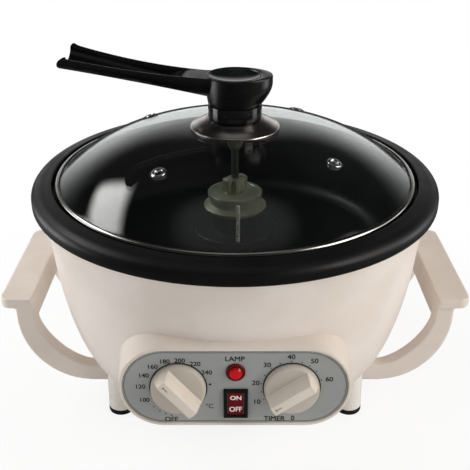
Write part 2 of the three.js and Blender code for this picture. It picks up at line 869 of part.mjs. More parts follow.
// Feet: turned legs under the bowl with rubber pads
const footX = footReach * Math.cos(degrees(footAngle));
const footY = footReach * Math.sin(degrees(footAngle));
const footPlaces = [
  ['front_left', -footX, -footY], ['front_right', footX, -footY],
  ['rear_left', -footX, footY], ['rear_right', footX, footY],
];
for (const [corner, x, y] of footPlaces) {
  const leg = turned([
    [0, padHeight + fit], [footRadius, padHeight + fit], [footRadius - footTaper, footTop], [0, footTop],
  ], smallSides);
  place(`foot_${corner}`, cut(moved(leg, x, y, 0), [bodyCore()]), cream());
  place(`foot_pad_${corner}`, moved(rod(padRadius, 0, padHeight), x, y, 0), rubber());
}

// Base plate with vent slots and its screws
const baseTop = bodyBottom - fit;

function baseShape() {
  const disc = rod(baseRadius, baseTop - baseThickness, baseTop, midSides);
  const slots = around(baseVentCount, baseVentRadius).map(({ angle, x, y }) => (
    block(baseVentLength, baseVentWidth, baseThickness + overrun * 2, 0, 0, -overrun)
      .rotateZ(angle).translate(x, y, baseTop - baseThickness)
  ));
  const holes = baseScrewPlaces.map(({ x, y }) => (
    moved(rod(baseScrewRadius + fit, 0, bodyBottom + overrun, pinSides), x, y, 0)
  ));
  return cut(disc, [...slots, ...holes]);
}
place('base_plate', baseShape(), finish(0x8f9194, 0.4, 0.8));

const baseScrewSeat = baseTop - baseThickness - fit;
baseScrewPlaces.forEach(({ x, y }, i) => {
  const screw = turned([
    [0, baseScrewSeat - baseScrewHeadHeight], [baseScrewHead, baseScrewSeat - baseScrewHeadHeight],
    [baseScrewHead, baseScrewSeat], [baseScrewRadius, baseScrewSeat],
    [baseScrewRadius, baseScrewSeat + baseScrewLength], [0, baseScrewSeat + baseScrewLength],
  ], pinSides);
  place(`base_screw_${i + 1}`, moved(screw, x, y, 0), steel());
});

// Cord gland: a flanged bush that seats on the back of the bowl
function glandShape() {
  const flange = cut(glandRod(glandFlangeRadius, glandFace - glandFlangeDepth, glandFace), [bodyCore()]);
  const neck = glandRod(glandNeckRadius, glandFace - glandNeckDepth, glandFace - overrun / 2);
  const hole = glandRod(glandHole, glandFace - glandNeckDepth * 2, glandFace + overrun);
  return cut(joined([flange, neck]), [hole]);
}
place('cord_gland', glandShape(), rubber());

// Panel housing: an obround cover that widens towards the bowl
function spread(geometry, rate) {
  const spots = geometry.attributes.position;
  const half = (housingWidth - housingHeight) / 2;
  for (let i = 0; i < spots.count; i += 1) {
    const [x, y, z] = [spots.getX(i), spots.getY(i), spots.getZ(i)];
    const spine = THREE.MathUtils.clamp(x, -half, half);
    const length = Math.hypot(x - spine, y) || 1;
    const outward = Math.max(-z, 0) * rate / length;
    spots.setXYZ(i, x + (x - spine) * outward, y + y * outward, z);
  }
  return geometry;
}

function housingShape() {
  const outer = new THREE.ExtrudeGeometry(
    stadium(housingWidth - housingRounding * 2, housingHeight - housingRounding * 2), {
      depth: housingDepth, steps: 1, curveSegments: housingSides,
      bevelThickness: housingRounding, bevelSize: housingRounding, bevelSegments: 2,
    },
  ).translate(0, 0, -housingDepth - housingRounding);
  const rim = housingEdge * 2;
  const seat = raised(stadium(housingWidth - rim, housingHeight - rim), fasciaBack - fit, overrun);
  const inner = rim + housingLedge * 2;
  const hollow = raised(stadium(housingWidth - inner, housingHeight - inner), -housingDepth * 2, overrun);
  return cut(spread(outer, housingDraft / housingDepth), [seat, hollow, seenFromPanel(bodyCore())]);
}
place('panel_housing', housingShape(), cream(), panel);

// Fascia plate with its holes
const dials = [
  { name: 'temperature', x: -dialSpacing / 2, angle: temperatureAngle },
  { name: 'timer', x: dialSpacing / 2, angle: timerAngle },
];

function fasciaShape() {
  const rim = (housingEdge + fit) * 2;
  const plate = raised(stadium(housingWidth - rim, housingHeight - rim), fasciaBack, fasciaFront);
  const holes = dials.map(({ x }) => moved(
    rod(spindleRadius + turnFit, fasciaBack - overrun, fasciaFront + overrun), x, dialLevel, 0,
  ));
  const lampHole = moved(
    rod(lampStem + fit, fasciaBack - overrun, fasciaFront + overrun), lampPlaceX, lampPlaceY, 0,
  );
  const switchHole = block(
    switchBodyWidth + fit * 2, switchBodyHeight + fit * 2, fasciaThickness + overrun * 2,
    switchPlaceX, switchPlaceY, fasciaBack - overrun,
  );
  return cut(plate, [...holes, lampHole, switchHole]);
}
place('fascia_plate', fasciaShape(), finish(0x8e9291, 0.5, 0.3), panel);

// Dials: a disc with a raised bar, on a spindle that reaches into its regulator
function knobShape() {
  const disc = turned([
    [0, knobBack], [knobRadius, knobBack], [knobRadius, knobBack + knobDisc / 2],
    [knobRadius - knobDraft, knobBack + knobDisc], [0, knobBack + knobDisc],
  ], midSides);
  const seat = knobBack + knobDisc / 2;
  const top = knobBack + knobDisc + gripBarHeight;
  const cone = turned([[0, seat], [knobRadius - knobDraft, seat], [gripTopLength / 2, top], [0, top]]);
  const wedge = carried([
    [-gripBaseWidth / 2, seat], [gripBaseWidth / 2, seat],
    [gripTopWidth / 2, top], [-gripTopWidth / 2, top],
  ], -knobRadius, knobRadius).rotateZ(Math.PI / 2);
  const grip = geometryOf(solid(cone).intersect(solid(wedge)));
  const socket = rod(spindleRadius + fit, knobBack - overrun, knobBack + spindleSocket + fit);
  return cut(joined([disc, grip]), [socket]);
}

for (const { name, x, angle } of dials) {
  const dial = new THREE.Group();
  dial.position.set(x, dialLevel, 0);
  dial.rotation.z = degrees(angle);
  panel.add(dial);
  place(`${name}_knob`, knobShape(), finish(0xe6dbd0, 0.4), dial);
  place(`${name}_spindle`, rod(spindleRadius, -spindleDepth, knobBack + spindleSocket), steel(), dial);
}

// Regulators behind the fascia, each with a neck round its spindle
function bored(body, depth) {
  return cut(body, [rod(spindleRadius + turnFit, -depth, overrun)]);
}
const neckTop = fasciaBack - fit;
const neckBase = neckTop - neckLength;
const thermostat = turned([
  [0, neckBase - thermostatDepth], [thermostatRadius, neckBase - thermostatDepth],
  [thermostatRadius, neckBase], [neckRadius, neckBase], [neckRadius, neckTop], [0, neckTop],
], midSides);
const boreDepth = spindleDepth + fit;
place(
  'thermostat_body',
  moved(bored(thermostat, boreDepth), -dialSpacing / 2, dialLevel, 0),
  finish(0xb8b2a4, 0.6), panel,
);
const timerBody = joined([
  block(timerBodySize, timerBodySize, timerBodyDepth, 0, 0, neckBase - timerBodyDepth),
  rod(neckRadius, neckBase - overrun, neckTop),
]);
place(
  'timer_body',
  moved(bored(timerBody, boreDepth), dialSpacing / 2, dialLevel, 0),
  finish(0x8c9096, 0.5, 0.6), panel,
);

// Indicator lamp: a domed lens on a stem through the fascia
const lampSeat = fasciaFront + fit;
const lampBrim = lampSeat + lampFlange;
place('lamp_lens', moved(turned([
  [0, fasciaBack - lampDepth], [lampStem, fasciaBack - lampDepth], [lampStem, lampSeat],
  [lampRadius, lampSeat], [lampRadius, lampBrim],
  [lampRadius * lampCrownShare, lampBrim + lampDome * lampShoulderShare], [0, lampBrim + lampDome],
], smallSides), lampPlaceX, lampPlaceY, 0), finish(0xa81512, 0.2), panel);

// Power switch: a flanged frame with a rocker inside
const switchPanel = new THREE.Group();
switchPanel.position.set(switchPlaceX, switchPlaceY, fasciaFront + fit);
panel.add(switchPanel);

function switchFrameShape() {
  const top = switchFlange;
  const lips = switchLip * 2;
  const flange = block(switchBodyWidth + lips, switchBodyHeight + lips, switchFlange, 0, 0, 0);
  const body = block(
    switchBodyWidth, switchBodyHeight, switchBodyDepth + switchFlange / 2, 0, 0, -switchBodyDepth,
  );
  const cavity = block(
    switchBodyWidth - switchWall * 2, switchBodyHeight - switchWall * 2,
    switchBodyDepth + top + overrun - switchFloor, 0, 0, switchFloor - switchBodyDepth,
  );
  return cut(joined([flange, body]), [cavity]);
}
place('switch_frame', switchFrameShape(), blackPlastic(), switchPanel);

function rockerShape() {
  const width = switchBodyWidth - (switchWall + fit) * 2;
  const side = carried([
    [-rockerHalf, rockerRise], [-rockerHalf, -rockerShoulder], [-rockerKeelHalf, -rockerKeel],
    [rockerKeelHalf, -rockerKeel], [rockerHalf, -rockerShoulder], [rockerHalf, rockerRise], [0, rockerDip],
  ], -width / 2, width / 2);
  return side.rotateZ(Math.PI / 2).translate(0, 0, -rockerPivot);
}
const rocker = place('switch_rocker', rockerShape(), finish(0xc21a18, 0.25), switchPanel);
rocker.position.z = rockerPivot + switchFlange;
rocker.rotation.x = degrees(rockerTilt);

// Stirrer hub: a stepped sleeve with a wide flange and a carrier disc at its foot
const bore = shaftRadius + fit;
const hubFlangeBase = hubTop - hubFlangeDrop;
const hubShape = turned([
  [bore, hubBottom], [carrierRadius, hubBottom], [carrierRadius, hubBottom + carrierHeight],
  [hubNeckRadius, hubBottom + carrierHeight], [hubNeckRadius, hubFlangeBase],
  [hubFlangeRadius, hubFlangeBase], [hubFlangeRadius, hubFlangeBase + hubFlangeHeight],
  [hubStepRadius, hubFlangeBase + hubFlangeHeight + hubStep / 2],
  [hubStepRadius, hubTop - hubStep], [hubTopRadius, hubTop - hubStep], [hubTopRadius, hubTop],
  [bore, hubTop],
], midSides);
const wireHole = moved(
  rod(wireRadius + fit, hubBottom - overrun, hubBottom + carrierHeight + overrun, pinSides),
  wireOffset, -wirePinReach, 0,
);
place('stirrer_hub', cut(hubShape, [wireHole]), finish(0x9c9d9f, 0.35, 1));

// Wing nut on top of the hub
function wingShape() {
  const base = hubTop + fit;
  const body = rod(wingBaseRadius, base, base + wingBase);
  const wing = new THREE.Shape([
    [-wingRadius, base + wingHeight], [-wingBaseRadius, base],
    [wingBaseRadius, base], [wingRadius, base + wingHeight],
    [wingRadius - wingTipWidth, base + wingHeight], [shaftRadius + turnFit, base + wingBase],
    [-shaftRadius - turnFit, base + wingBase], [wingTipWidth - wingRadius, base + wingHeight],
  ].map(([x, z]) => new THREE.Vector2(x, z)));
  const flat = new THREE.ExtrudeGeometry(wing, { depth: wingThickness, bevelEnabled: false });
  flat.translate(0, 0, -wingThickness / 2).rotateX(Math.PI / 2).rotateZ(degrees(wingAngle));
  const hole = rod(bore, base - overrun, base + wingHeight + overrun);
  return cut(joined([body, flat]), [hole]);
}
place('wing_nut', wingShape(), steel());

// Stirrer wire: up through the carrier, down to the pan floor and out in a curve to the wall
function wirePath() {
  const floor = panFloor + wireFloorGap + wireRadius;
  const top = new THREE.Vector3(wireOffset, -wirePinReach, hubTop - wirePinDrop);
  const bend = new THREE.Vector3(wireOffset, -wirePinReach, floor + wireBend);
  const elbow = new THREE.Vector3(wireOffset, -wirePinReach, floor);
  const out = new THREE.Vector3(wireOffset, -wirePinReach - wireBend, floor);
  const middle = new THREE.Vector3(wireOffset, -wireReach * wireMiddleShare, floor);
  const end = new THREE.Vector3(
    wireReach * Math.sin(degrees(wireSweep)), -wireReach * Math.cos(degrees(wireSweep)),
    floor + wireTipRise,
  );
  const path = new THREE.CurvePath();
  path.add(new THREE.LineCurve3(top, bend));
  path.add(new THREE.QuadraticBezierCurve3(bend, elbow, out));
  path.add(new THREE.QuadraticBezierCurve3(out, middle, end));
  return path;
}
place('stirrer_wire', bar(wirePath(), wireRadius, wireSteps, wireSides), steel());

// Drive: shaft, seal, gears and the motor under the pan
place('drive_shaft', rod(shaftRadius, shaftBottom, shaftTop), steel());

place('shaft_seal', turned([
  [shaftRadius + turnFit, panBossTop - panWall], [sealRadius, panBossTop - panWall],
  [sealRadius, panBossTop + fit], [sealFlangeRadius, panBossTop + fit],
  [sealFlangeRadius, panBossTop + sealFlange], [shaftRadius + turnFit, panBossTop + sealFlange],
], smallSides), rubber());

function gearShape(teeth, turn) {
  const pitch = gearModule * teeth / 2;
  const [tip, root] = [pitch + gearModule * toothAddendum, pitch - gearModule * toothDedendum];
  const spots = around(teeth, pitch, turn).flatMap(({ angle: middle }) => {
    const step = Math.PI / teeth;
    return [
      [root, -toothRootShare], [tip, -toothTopShare], [tip, toothTopShare], [root, toothRootShare],
    ].map(([radius, share]) => new THREE.Vector2(
      radius * Math.cos(middle + share * step), radius * Math.sin(middle + share * step),
    ));
  });
  return raised(new THREE.Shape(spots), gearBase, gearBase + gearThickness, 1);
}

const driveGear = joined([
  gearShape(gearTeeth, 0), rod(gearHubRadius, gearBase, gearBase + gearThickness + gearHubHeight),
]);
const gearBore = rod(bore, gearBase - overrun, caseTop);
place('drive_gear', cut(driveGear, [gearBore]), finish(0xe5e0d2, 0.5));

const pinionShaftBottom = motorTop - motorShaftDepth;
const pinion = joined([
  moved(gearShape(pinionTeeth, Math.PI + Math.PI / pinionTeeth), gearDistance, 0, 0),
  moved(rod(motorShaftRadius, pinionShaftBottom, gearBase + gearThickness / 2), gearDistance, 0, 0),
]);
place('motor_pinion', pinion, finish(0xc9a24a, 0.35, 1));

// Gear case: a tray turned upside down on the motor bridge
function caseShape() {
  const middle = gearDistance / 2;
  const outer = block(caseLength, caseWidth, caseTop - caseBottom, middle, 0, caseBottom);
  const inner = block(
    caseLength - caseWall * 2, caseWidth - caseWall * 2, caseTop - caseBottom - caseWall + overrun,
    middle, 0, caseBottom - overrun,
  );
  return cut(outer, [inner, rod(shaftRadius + turnFit, caseBottom, caseTop + overrun)]);
}
place('gear_case', caseShape(), finish(0x7f8286, 0.5));

// Motor bridge: a folded strip that stands on the base plate
function bridgeShape() {
  const foot = baseTop + fit;
  const half = bridgeReach;
  const inner = half - bridgeThickness;
  const strip = carried([
    [-half - bridgeFoot, foot], [-inner, foot], [-inner, bridgeTop - bridgeThickness],
    [inner, bridgeTop - bridgeThickness], [inner, foot], [half + bridgeFoot, foot],
    [half + bridgeFoot, foot + bridgeThickness], [half, foot + bridgeThickness], [half, bridgeTop],
    [-half, bridgeTop], [-half, foot + bridgeThickness], [-half - bridgeFoot, foot + bridgeThickness],
  ], -bridgeWidth / 2, bridgeWidth / 2);
  const hole = moved(
    rod(motorShaftRadius + turnFit * 2, motorTop, caseTop, pinSides), gearDistance, 0, 0,
  );
  return cut(strip, [hole]);
}
place('motor_bridge', bridgeShape(), finish(0xa7aaae, 0.35, 1));

const motor = moved(rod(motorRadius, motorTop - motorLength, motorTop, midSides), gearDistance, 0, 0);
const motorBore = rod(motorShaftRadius + turnFit, pinionShaftBottom - fit, motorTop + overrun, pinSides)
  .translate(gearDistance, 0, 0);
place('motor', cut(motor, [motorBore]), finish(0x6f7276, 0.4, 0.8));

// Heating: a bent tube under the pan, a heat shield on the gear case and a thermal cut-out
function elementPath() {
  const level = panUnder - elementTube - fit;
  const half = degrees(elementGapAngle / 2);
  const spots = Array.from({ length: elementSides * 2 + 1 }, (_, i) => {
    const angle = Math.PI / 2 + half + (i / (elementSides * 2)) * (Math.PI * 2 - half * 2);
    return new THREE.Vector3(elementRadius * Math.cos(angle), elementRadius * Math.sin(angle), level);
  });
  const [start, end] = [spots[0], spots[spots.length - 1]];
  const lead = (spot, side) => {
    const corner = spot.clone().add(new THREE.Vector3(side * elementBend, 0, 0));
    const tip = corner.clone().add(new THREE.Vector3(0, 0, -elementEndDrop));
    return [tip, corner, spot];
  };
  const path = new THREE.CurvePath();
  path.add(new THREE.QuadraticBezierCurve3(...lead(start, 1)));
  path.add(new THREE.CatmullRomCurve3(spots));
  path.add(new THREE.QuadraticBezierCurve3(...lead(end, -1).reverse()));
  return path;
}
const elementShape = bar(elementPath(), elementTube, elementSteps, elementSides);
place('heating_element', elementShape, finish(0x5b5d60, 0.5, 1));

const shieldBottom = caseTop + fit;
place('heat_shield', turned([
  [shieldHole, shieldBottom], [shieldRadius - shieldLip, shieldBottom],
  [shieldRadius, shieldBottom + shieldRise], [shieldRadius - shieldWall, shieldBottom + shieldRise],
  [shieldRadius - shieldLip - shieldWall, shieldBottom + shieldWall],
  [shieldHole, shieldBottom + shieldWall],
], bigSides), finish(0xc2c5c9, 0.25, 1));

const cutoutTop = panUnder - fit;
const cutoutShape = rod(cutoutRadius, cutoutTop - cutoutHeight, cutoutTop)
  .translate(cutoutReach, 0, 0).rotateZ(degrees(cutoutAngle));
place('thermal_cutout', cutoutShape, finish(0xd8d5cc, 0.6));

// The origin is on the table, under the middle of the whole roaster's box
const middle = new THREE.Box3().setFromObject(parts, true).getCenter(new THREE.Vector3());
parts.position.set(0, -middle.y, 0);
const roaster = new THREE.Group();
roaster.add(parts);

export default roaster;
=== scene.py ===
"""Home coffee bean roaster: smooth pieces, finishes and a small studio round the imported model."""
import json
import math

import bmesh
import bpy
from mathutils import Matrix, Vector
from mathutils.geometry import interpolate_bezier


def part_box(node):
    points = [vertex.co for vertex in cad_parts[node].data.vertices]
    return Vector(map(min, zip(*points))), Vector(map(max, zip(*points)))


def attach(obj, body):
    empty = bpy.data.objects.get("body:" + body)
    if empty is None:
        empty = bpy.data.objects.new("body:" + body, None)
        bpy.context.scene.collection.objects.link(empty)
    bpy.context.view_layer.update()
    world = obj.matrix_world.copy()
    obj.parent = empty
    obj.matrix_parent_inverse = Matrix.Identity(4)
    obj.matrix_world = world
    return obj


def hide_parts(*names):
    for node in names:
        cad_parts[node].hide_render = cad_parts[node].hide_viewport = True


bl_info = {
    "name": "Coffee bean roaster",
    "version": (1, 0, 0),
    "blender": (4, 5, 0),
    "location": "3D View > Sidebar > Roaster",
    "description": "Builds the roaster's pieces, finishes and studio, one button for each",
    "category": "Object",
}

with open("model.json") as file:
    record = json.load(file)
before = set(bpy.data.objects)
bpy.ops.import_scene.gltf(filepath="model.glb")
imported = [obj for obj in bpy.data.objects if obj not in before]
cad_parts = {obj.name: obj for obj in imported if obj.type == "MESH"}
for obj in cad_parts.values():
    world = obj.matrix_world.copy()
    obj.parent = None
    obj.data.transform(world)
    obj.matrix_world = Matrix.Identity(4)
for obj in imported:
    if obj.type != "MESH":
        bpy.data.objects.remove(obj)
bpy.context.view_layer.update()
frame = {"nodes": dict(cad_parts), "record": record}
body_of = {
    node: body
    for body, nodes in frame["record"]["behaviour"]["bodies"].items()
    for node in nodes
}

pan_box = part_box("roasting_pan")
AXIS = Vector((0, (pan_box[0].y + pan_box[1].y) / 2, 0))

MM = 0.001
FULL_TURN = math.tau

# Steps round large and small turned pieces, and the angle past which an edge stays sharp

ROUND = 128
SMALL_ROUND = 48
SHARP = math.radians(34)

# Sizes that several pieces share, in millimetres: how far the glass rises from its edge to its
# middle, holes, the level of the cord's bush, and places on the control panel

GLASS_RISE = 38.3
BOLT_BORE = 4.1
SHAFT_BORE = 3.3
BUSH_LEVEL = 60
POD_REACH = 47.7
POD_RADIUS = 30.6
FASCIA_RADIUS = 27.9
PRINT_LEVEL = -0.8
DIAL_SPACING = 38
DIAL_LEVEL = -0.2


def colour(code):
    """A linear colour from the six hex digits that a paint chart gives."""
    channels = [int(code[i:i + 2], 16) / 255 for i in (0, 2, 4)]
    return tuple(c / 12.92 if c <= 0.04045 else ((c + 0.055) / 1.055) ** 2.4 for c in channels)


def shade(tone, factor, lift=0):
    """A colour made lighter or darker."""
    return tuple(c * factor + lift for c in tone)


def low(node):
    """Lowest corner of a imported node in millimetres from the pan's axis."""
    return (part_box(node)[0] - AXIS) / MM


def high(node):
    """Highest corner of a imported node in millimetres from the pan's axis."""
    return (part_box(node)[1] - AXIS) / MM


# Settings that a user would change

def length_setting(name, description, default, least=0):
    return bpy.props.FloatProperty(
        name=name, description=description, default=default, min=least, unit="LENGTH", subtype="DISTANCE")


def place_setting(name, description, default):
    return bpy.props.FloatVectorProperty(
        name=name, description=description, default=default, unit="LENGTH", subtype="XYZ")


def angle_setting(name, description, degrees):
    return bpy.props.FloatProperty(
        name=name, description=description, default=math.radians(degrees), unit="ROTATION", subtype="ANGLE")


def colour_setting(name, description, code):
    return bpy.props.FloatVectorProperty(
        name=name, description=description, default=colour(code), subtype="COLOR", min=0, max=1)


def power_setting(name, description, watts):
    return bpy.props.FloatProperty(
        name=name, description=description, default=watts, min=0, unit="POWER")


class RoasterSizes(bpy.types.PropertyGroup):
    """Sizes of the roaster's pieces"""

    body_wall: length_setting("Body wall", "Thickness of the bowl's wall", 0.0028, 0.0005)
    pan_wall: length_setting("Pan wall", "Thickness of the roasting pan", 0.0024, 0.0005)
    rim_radius: length_setting("Rim radius", "Outer radius of the pan's rolled rim", pan_box[1].x)
    glass_radius: length_setting("Glass radius", "Radius of the glass lid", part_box("glass_lid")[1].x)
    glass_wall: length_setting("Glass wall", "Thickness of the glass lid", 0.004, 0.001)
    lever_length: length_setting(
        "Lever length", "Length of the lever from the collar to its tip", 0.106)
    lever_wall: length_setting("Lever wall", "Thickness of the lever's trough", 0.0024)
    handle_grain: length_setting(
        "Handle grain", "Size of the grid that melts each handle into one skin", 0.0009, 0.0005)
    panel_place: place_setting(
        "Panel place", "Middle of the control panel's face, from the pan's axis", (0, -0.1566, 0.0855))
    panel_tilt: angle_setting("Panel tilt", "How far the control panel leans back", 5)
    temperature_pointer: angle_setting(
        "Temperature pointer", "Direction of the temperature knob's mark", 131.2)
    timer_pointer: angle_setting("Timer pointer", "Direction of the timer knob's mark", -145.3)
    rocker_tilt: angle_setting("Rocker tilt", "Lean of the power switch's rocker", -7)


class RoasterFinishes(bpy.types.PropertyGroup):
    """Colours of the roaster's pieces"""

    body_cream: colour_setting("Body cream", "Colour of the painted bowl", "EAE2DC")
    handle_cream: colour_setting(
        "Handle cream", "Colour of the handles and the panel housing", "E6DCD3")
    knob_cream: colour_setting("Knob cream", "Colour of the two knobs", "E6DDD2")
    pan_black: colour_setting("Pan black", "Colour of the non-stick coating", "0F0F11")
    lever_black: colour_setting("Lever black", "Colour of the lever and its collar", "060607")
    glass_tint: colour_setting(
        "Glass tint", "Colour of the light that the lid lets through", "EEF4F1")
    steel: colour_setting("Steel", "Colour of the lid's ring", "C9C8C4")
    stirrer_metal: colour_setting(
        "Stirrer metal", "Colour of the stirrer's castings", "8E8C7A")
    fascia_grey: colour_setting(
        "Fascia grey", "Colour of the control panel's face", "B9BDBC")
    ink: colour_setting("Ink", "Colour of the printed scales", "17181A")
    lamp_red: colour_setting("Lamp red", "Colour of the indicator lamp", "B00410")
    rocker_red: colour_setting(
        "Rocker red", "Colour of the power switch's rocker", "6E0509")


class RoasterStudio(bpy.types.PropertyGroup):
    """Camera, lamps and floor"""

    lens: bpy.props.FloatProperty(
        name="Lens", description="Focal length in millimetres", default=57.36, min=10, subtype="NONE")
    camera_place: place_setting(
        "Camera place", "Where the camera stands, from the pan's axis", (0, -0.55405, 0.4075))
    camera_aim: place_setting(
        "Camera aim", "The point at the middle of the picture, from the pan's axis", (0, 0, 0.1196))
    side_power: power_setting("Side boxes", "Power of the two side softboxes, before their shares", 8.6)
    top_power: power_setting("Top box", "Power of the overhead softbox", 1.7)
    card_power: power_setting("Cards", "Power of the left low card, and twice that of the right one", 0.8)
    sky: bpy.props.FloatProperty(
        name="Room light", description="Strength of the light that fills the room", default=0.68, min=0)


# Shader graphs written as sums

class Signal:
    """A node's socket that sums and products can be written with."""

    def __init__(self, finish, socket):
        self.finish = finish
        self.socket = socket

    def worked(self, operation, *values):
        """What a Math node makes of some values."""
        return self.finish.node("ShaderNodeMath", {"operation": operation}, dict(enumerate(values)))

    def __add__(self, other):
        return self.worked("ADD", self, other)

    def __radd__(self, other):
        return self.worked("ADD", other, self)

    def __sub__(self, other):
        return self.worked("SUBTRACT", self, other)

    def __rsub__(self, other):
        return self.worked("SUBTRACT", other, self)

    def __mul__(self, other):
        return self.worked("MULTIPLY", self, other)

    def __rmul__(self, other):
        return self.worked("MULTIPLY", other, self)


class Finish:
    """The nodes of a material, or of the tree that is given, all made by node()."""

    def __init__(self, name, tree=None):
        if tree is None:
            self.material = bpy.data.materials.new(name)
            self.material.use_nodes = True
            tree = self.material.node_tree
        self.tree = tree
        self.tree.nodes.clear()

    def node(self, kind, settings=None, inputs=None, output=0):
        made = self.tree.nodes.new(kind)
        for key, value in (settings or {}).items():
            setattr(made, key, value)
        for key, value in (inputs or {}).items():
            if isinstance(value, Signal):
                self.tree.links.new(value.socket, made.inputs[key])
            else:
                made.inputs[key].default_value = value
        return Signal(self, made.outputs[output]) if made.outputs else None

    def vector(self, operation, *values):
        """What a Vector Math node makes of some vectors."""
        return self.node("ShaderNodeVectorMath", {"operation": operation}, dict(enumerate(values)))

    def spots(self, scale=(1, 1, 1), location=(0, 0, 0)):
        """Places on the piece in its own metres, stretched and moved."""
        where = self.node("ShaderNodeTexCoord", output="Object")
        return self.node("ShaderNodeMapping", {"vector_type": "POINT"}, {
            "Vector": where, "Location": location, "Scale": scale,
        })

    def noise(self, where, scale, detail=3, roughness=0.55):
        """Cloudy values between about 0.3 and 0.7."""
        return self.node("ShaderNodeTexNoise", None, {
            "Vector": where, "Scale": scale, "Detail": detail, "Roughness": roughness,
        })

    def grains(self, where, scale):
        """Distance to the nearest of many scattered points."""
        return self.node("ShaderNodeTexVoronoi", {"feature": "F1"}, {"Vector": where, "Scale": scale})

    def ray(self, key):
        """What is known of the ray that looks at the surface."""
        return self.node("ShaderNodeLightPath", output=key)

    def parts(self, vector, keys="XYZ"):
        """The numbers that a vector is made of."""
        return [self.node("ShaderNodeSeparateXYZ", None, {0: vector}, output=key) for key in keys]

    def mixed(self, share, first, last):
        """One shader going over into another."""
        return self.node("ShaderNodeMixShader", None, {0: share, 1: first, 2: last})

    def first_sight(self):
        """One where the camera looks, straight or through glass, and none after a bounce."""
        camera, through, bounced, glossy = map(
            self.ray, ("Is Camera Ray", "Is Transmission Ray", "Diffuse Depth", "Glossy Depth"))
        straight = 1 - bounced.worked("MINIMUM", bounced + glossy, 1)
        return camera.worked("MAXIMUM", camera, through * straight)

    def band(self, value, start, end, first=0, last=1):
        """A value stretched from one range to another, and held inside it."""
        return self.node("ShaderNodeMapRange", {"clamp": True, "interpolation_type": "SMOOTHSTEP"}, {
            "Value": value, "From Min": start, "From Max": end, "To Min": first, "To Max": last,
        })

    def varied(self, noise, first=0, last=1):
        """A value that noise carries from one end to the other."""
        return self.band(noise, 0.3, 0.7, first, last)

    def tinted(self, first, last, share):
        """One colour going over into another."""
        colours = {
            key: value if isinstance(value, Signal) else (*value[:3], 1)
            for key, value in ((6, first), (7, last))
        }
        return self.node("ShaderNodeMix", {"data_type": "RGBA"}, {0: share, **colours}, output=2)

    def bump(self, height, strength, distance, under=None):
        """A normal that the height leans this way and that."""
        inputs = {"Height": height, "Strength": strength, "Distance": distance}
        if under is not None:
            inputs["Normal"] = under
        return self.node("ShaderNodeBump", None, inputs)

    def round_axis(self):
        """Places counted from the pan's axis."""
        return self.spots(location=-AXIS)

    def across(self, where):
        """Distance from the upright axis of the places."""
        flat = self.vector("MULTIPLY", where, (1, 1, 0))
        return self.node("ShaderNodeVectorMath", {"operation": "LENGTH"}, {0: flat}, output="Value")

    def turning(self, where, along, around):
        """Places that run round the upright axis, so that a pattern on them is a turned one."""
        flat = self.vector("MULTIPLY", where, (1, 1, 0))
        unit = self.vector("NORMALIZE", flat)
        ring = self.node("ShaderNodeVectorMath", {"operation": "SCALE"}, {0: unit, "Scale": around})
        reach = self.across(where) * along
        rise = self.parts(where, "Z")[0] * along
        lift = self.node("ShaderNodeCombineXYZ", None, {0: 0, 1: reach, 2: rise})
        return self.vector("ADD", ring, lift)

    def shader(self, **sockets):
        """A Principled shader with the sockets that are named."""
        names = {key.replace("_", " "): value for key, value in sockets.items()}
        for key, value in names.items():
            if isinstance(value, tuple) and len(value) == 3:
                names[key] = (*value, 1)
        return self.node("ShaderNodeBsdfPrincipled", None, names)

    def done(self, **sockets):
        """Ends the graph in one Principled shader and returns the material."""
        return self.shown(self.shader(**sockets))

    def shown(self, surface):
        """Ends the graph in the surface that is given and returns the material."""
        self.node("ShaderNodeOutputMaterial", None, {"Surface": surface})
        return self.material


def satin_cream(name, tone, rough=0.36, grain=900, depth=0.00002):
    """Cream moulding or paint: faint clouds of tone, a fine skin and softly varied shine."""
    finish = Finish(name)
    where = finish.spots()
    cloud = finish.noise(where, 14, detail=4)
    skin = finish.noise(where, grain, detail=2, roughness=0.5)
    wave = finish.noise(where, 120, detail=2, roughness=0.4)
    deep = tuple(c * f for c, f in zip(tone, (0.93, 0.915, 0.89)))
    return finish.done(
        Base_Color=finish.tinted(deep, tone, finish.band(cloud, 0.36, 0.6)),
        Roughness=finish.varied(cloud, rough - 0.05, rough + 0.06) + (wave - 0.5) * 0.08,
        Specular_IOR_Level=0.45,
        Normal=finish.bump(skin * 0.6 + wave * 0.8, strength=0.35, distance=depth),
    )


def non_stick(name, tone, rough=0.42):
    """Pan coating: black with a fine pale fleck, turned rings and a soft sheen."""
    finish = Finish(name)
    where = finish.spots()
    rings = finish.noise(finish.turning(finish.round_axis(), 900, around=1.5), 1, detail=2, roughness=0.5)
    fleck = finish.band(finish.grains(where, 1500), 0.0, 0.16, 1, 0)
    cloud = finish.noise(where, 22, detail=4)
    skin = finish.noise(where, 2600, detail=2)
    grooves = finish.bump(rings, strength=0.2, distance=0.00002)
    pale = shade(tone, 2, 0.002)
    return finish.done(
        Base_Color=finish.tinted(tone, pale, fleck * 0.4 + (cloud - 0.4) * 0.25),
        Roughness=finish.varied(cloud, rough - 0.06, rough + 0.06) + (rings - 0.5) * 0.1,
        Specular_IOR_Level=0.3,
        Normal=finish.bump(skin, strength=0.25, distance=0.00001, under=grooves),
    )


def moulded_black(name, tone, rough=0.3):
    """Black moulding with a fine spark-eroded skin."""
    finish = Finish(name)
    where = finish.spots()
    skin = finish.noise(where, 1100, roughness=0.6)
    cloud = finish.noise(where, 30)
    pale = shade(tone, 1.5, 0.001)
    return finish.done(
        Base_Color=finish.tinted(tone, pale, finish.band(cloud, 0.35, 0.65)),
        Roughness=finish.varied(cloud, rough - 0.05, rough + 0.07),
        Specular_IOR_Level=0.45,
        Normal=finish.bump(skin, strength=0.35, distance=0.00001),
    )


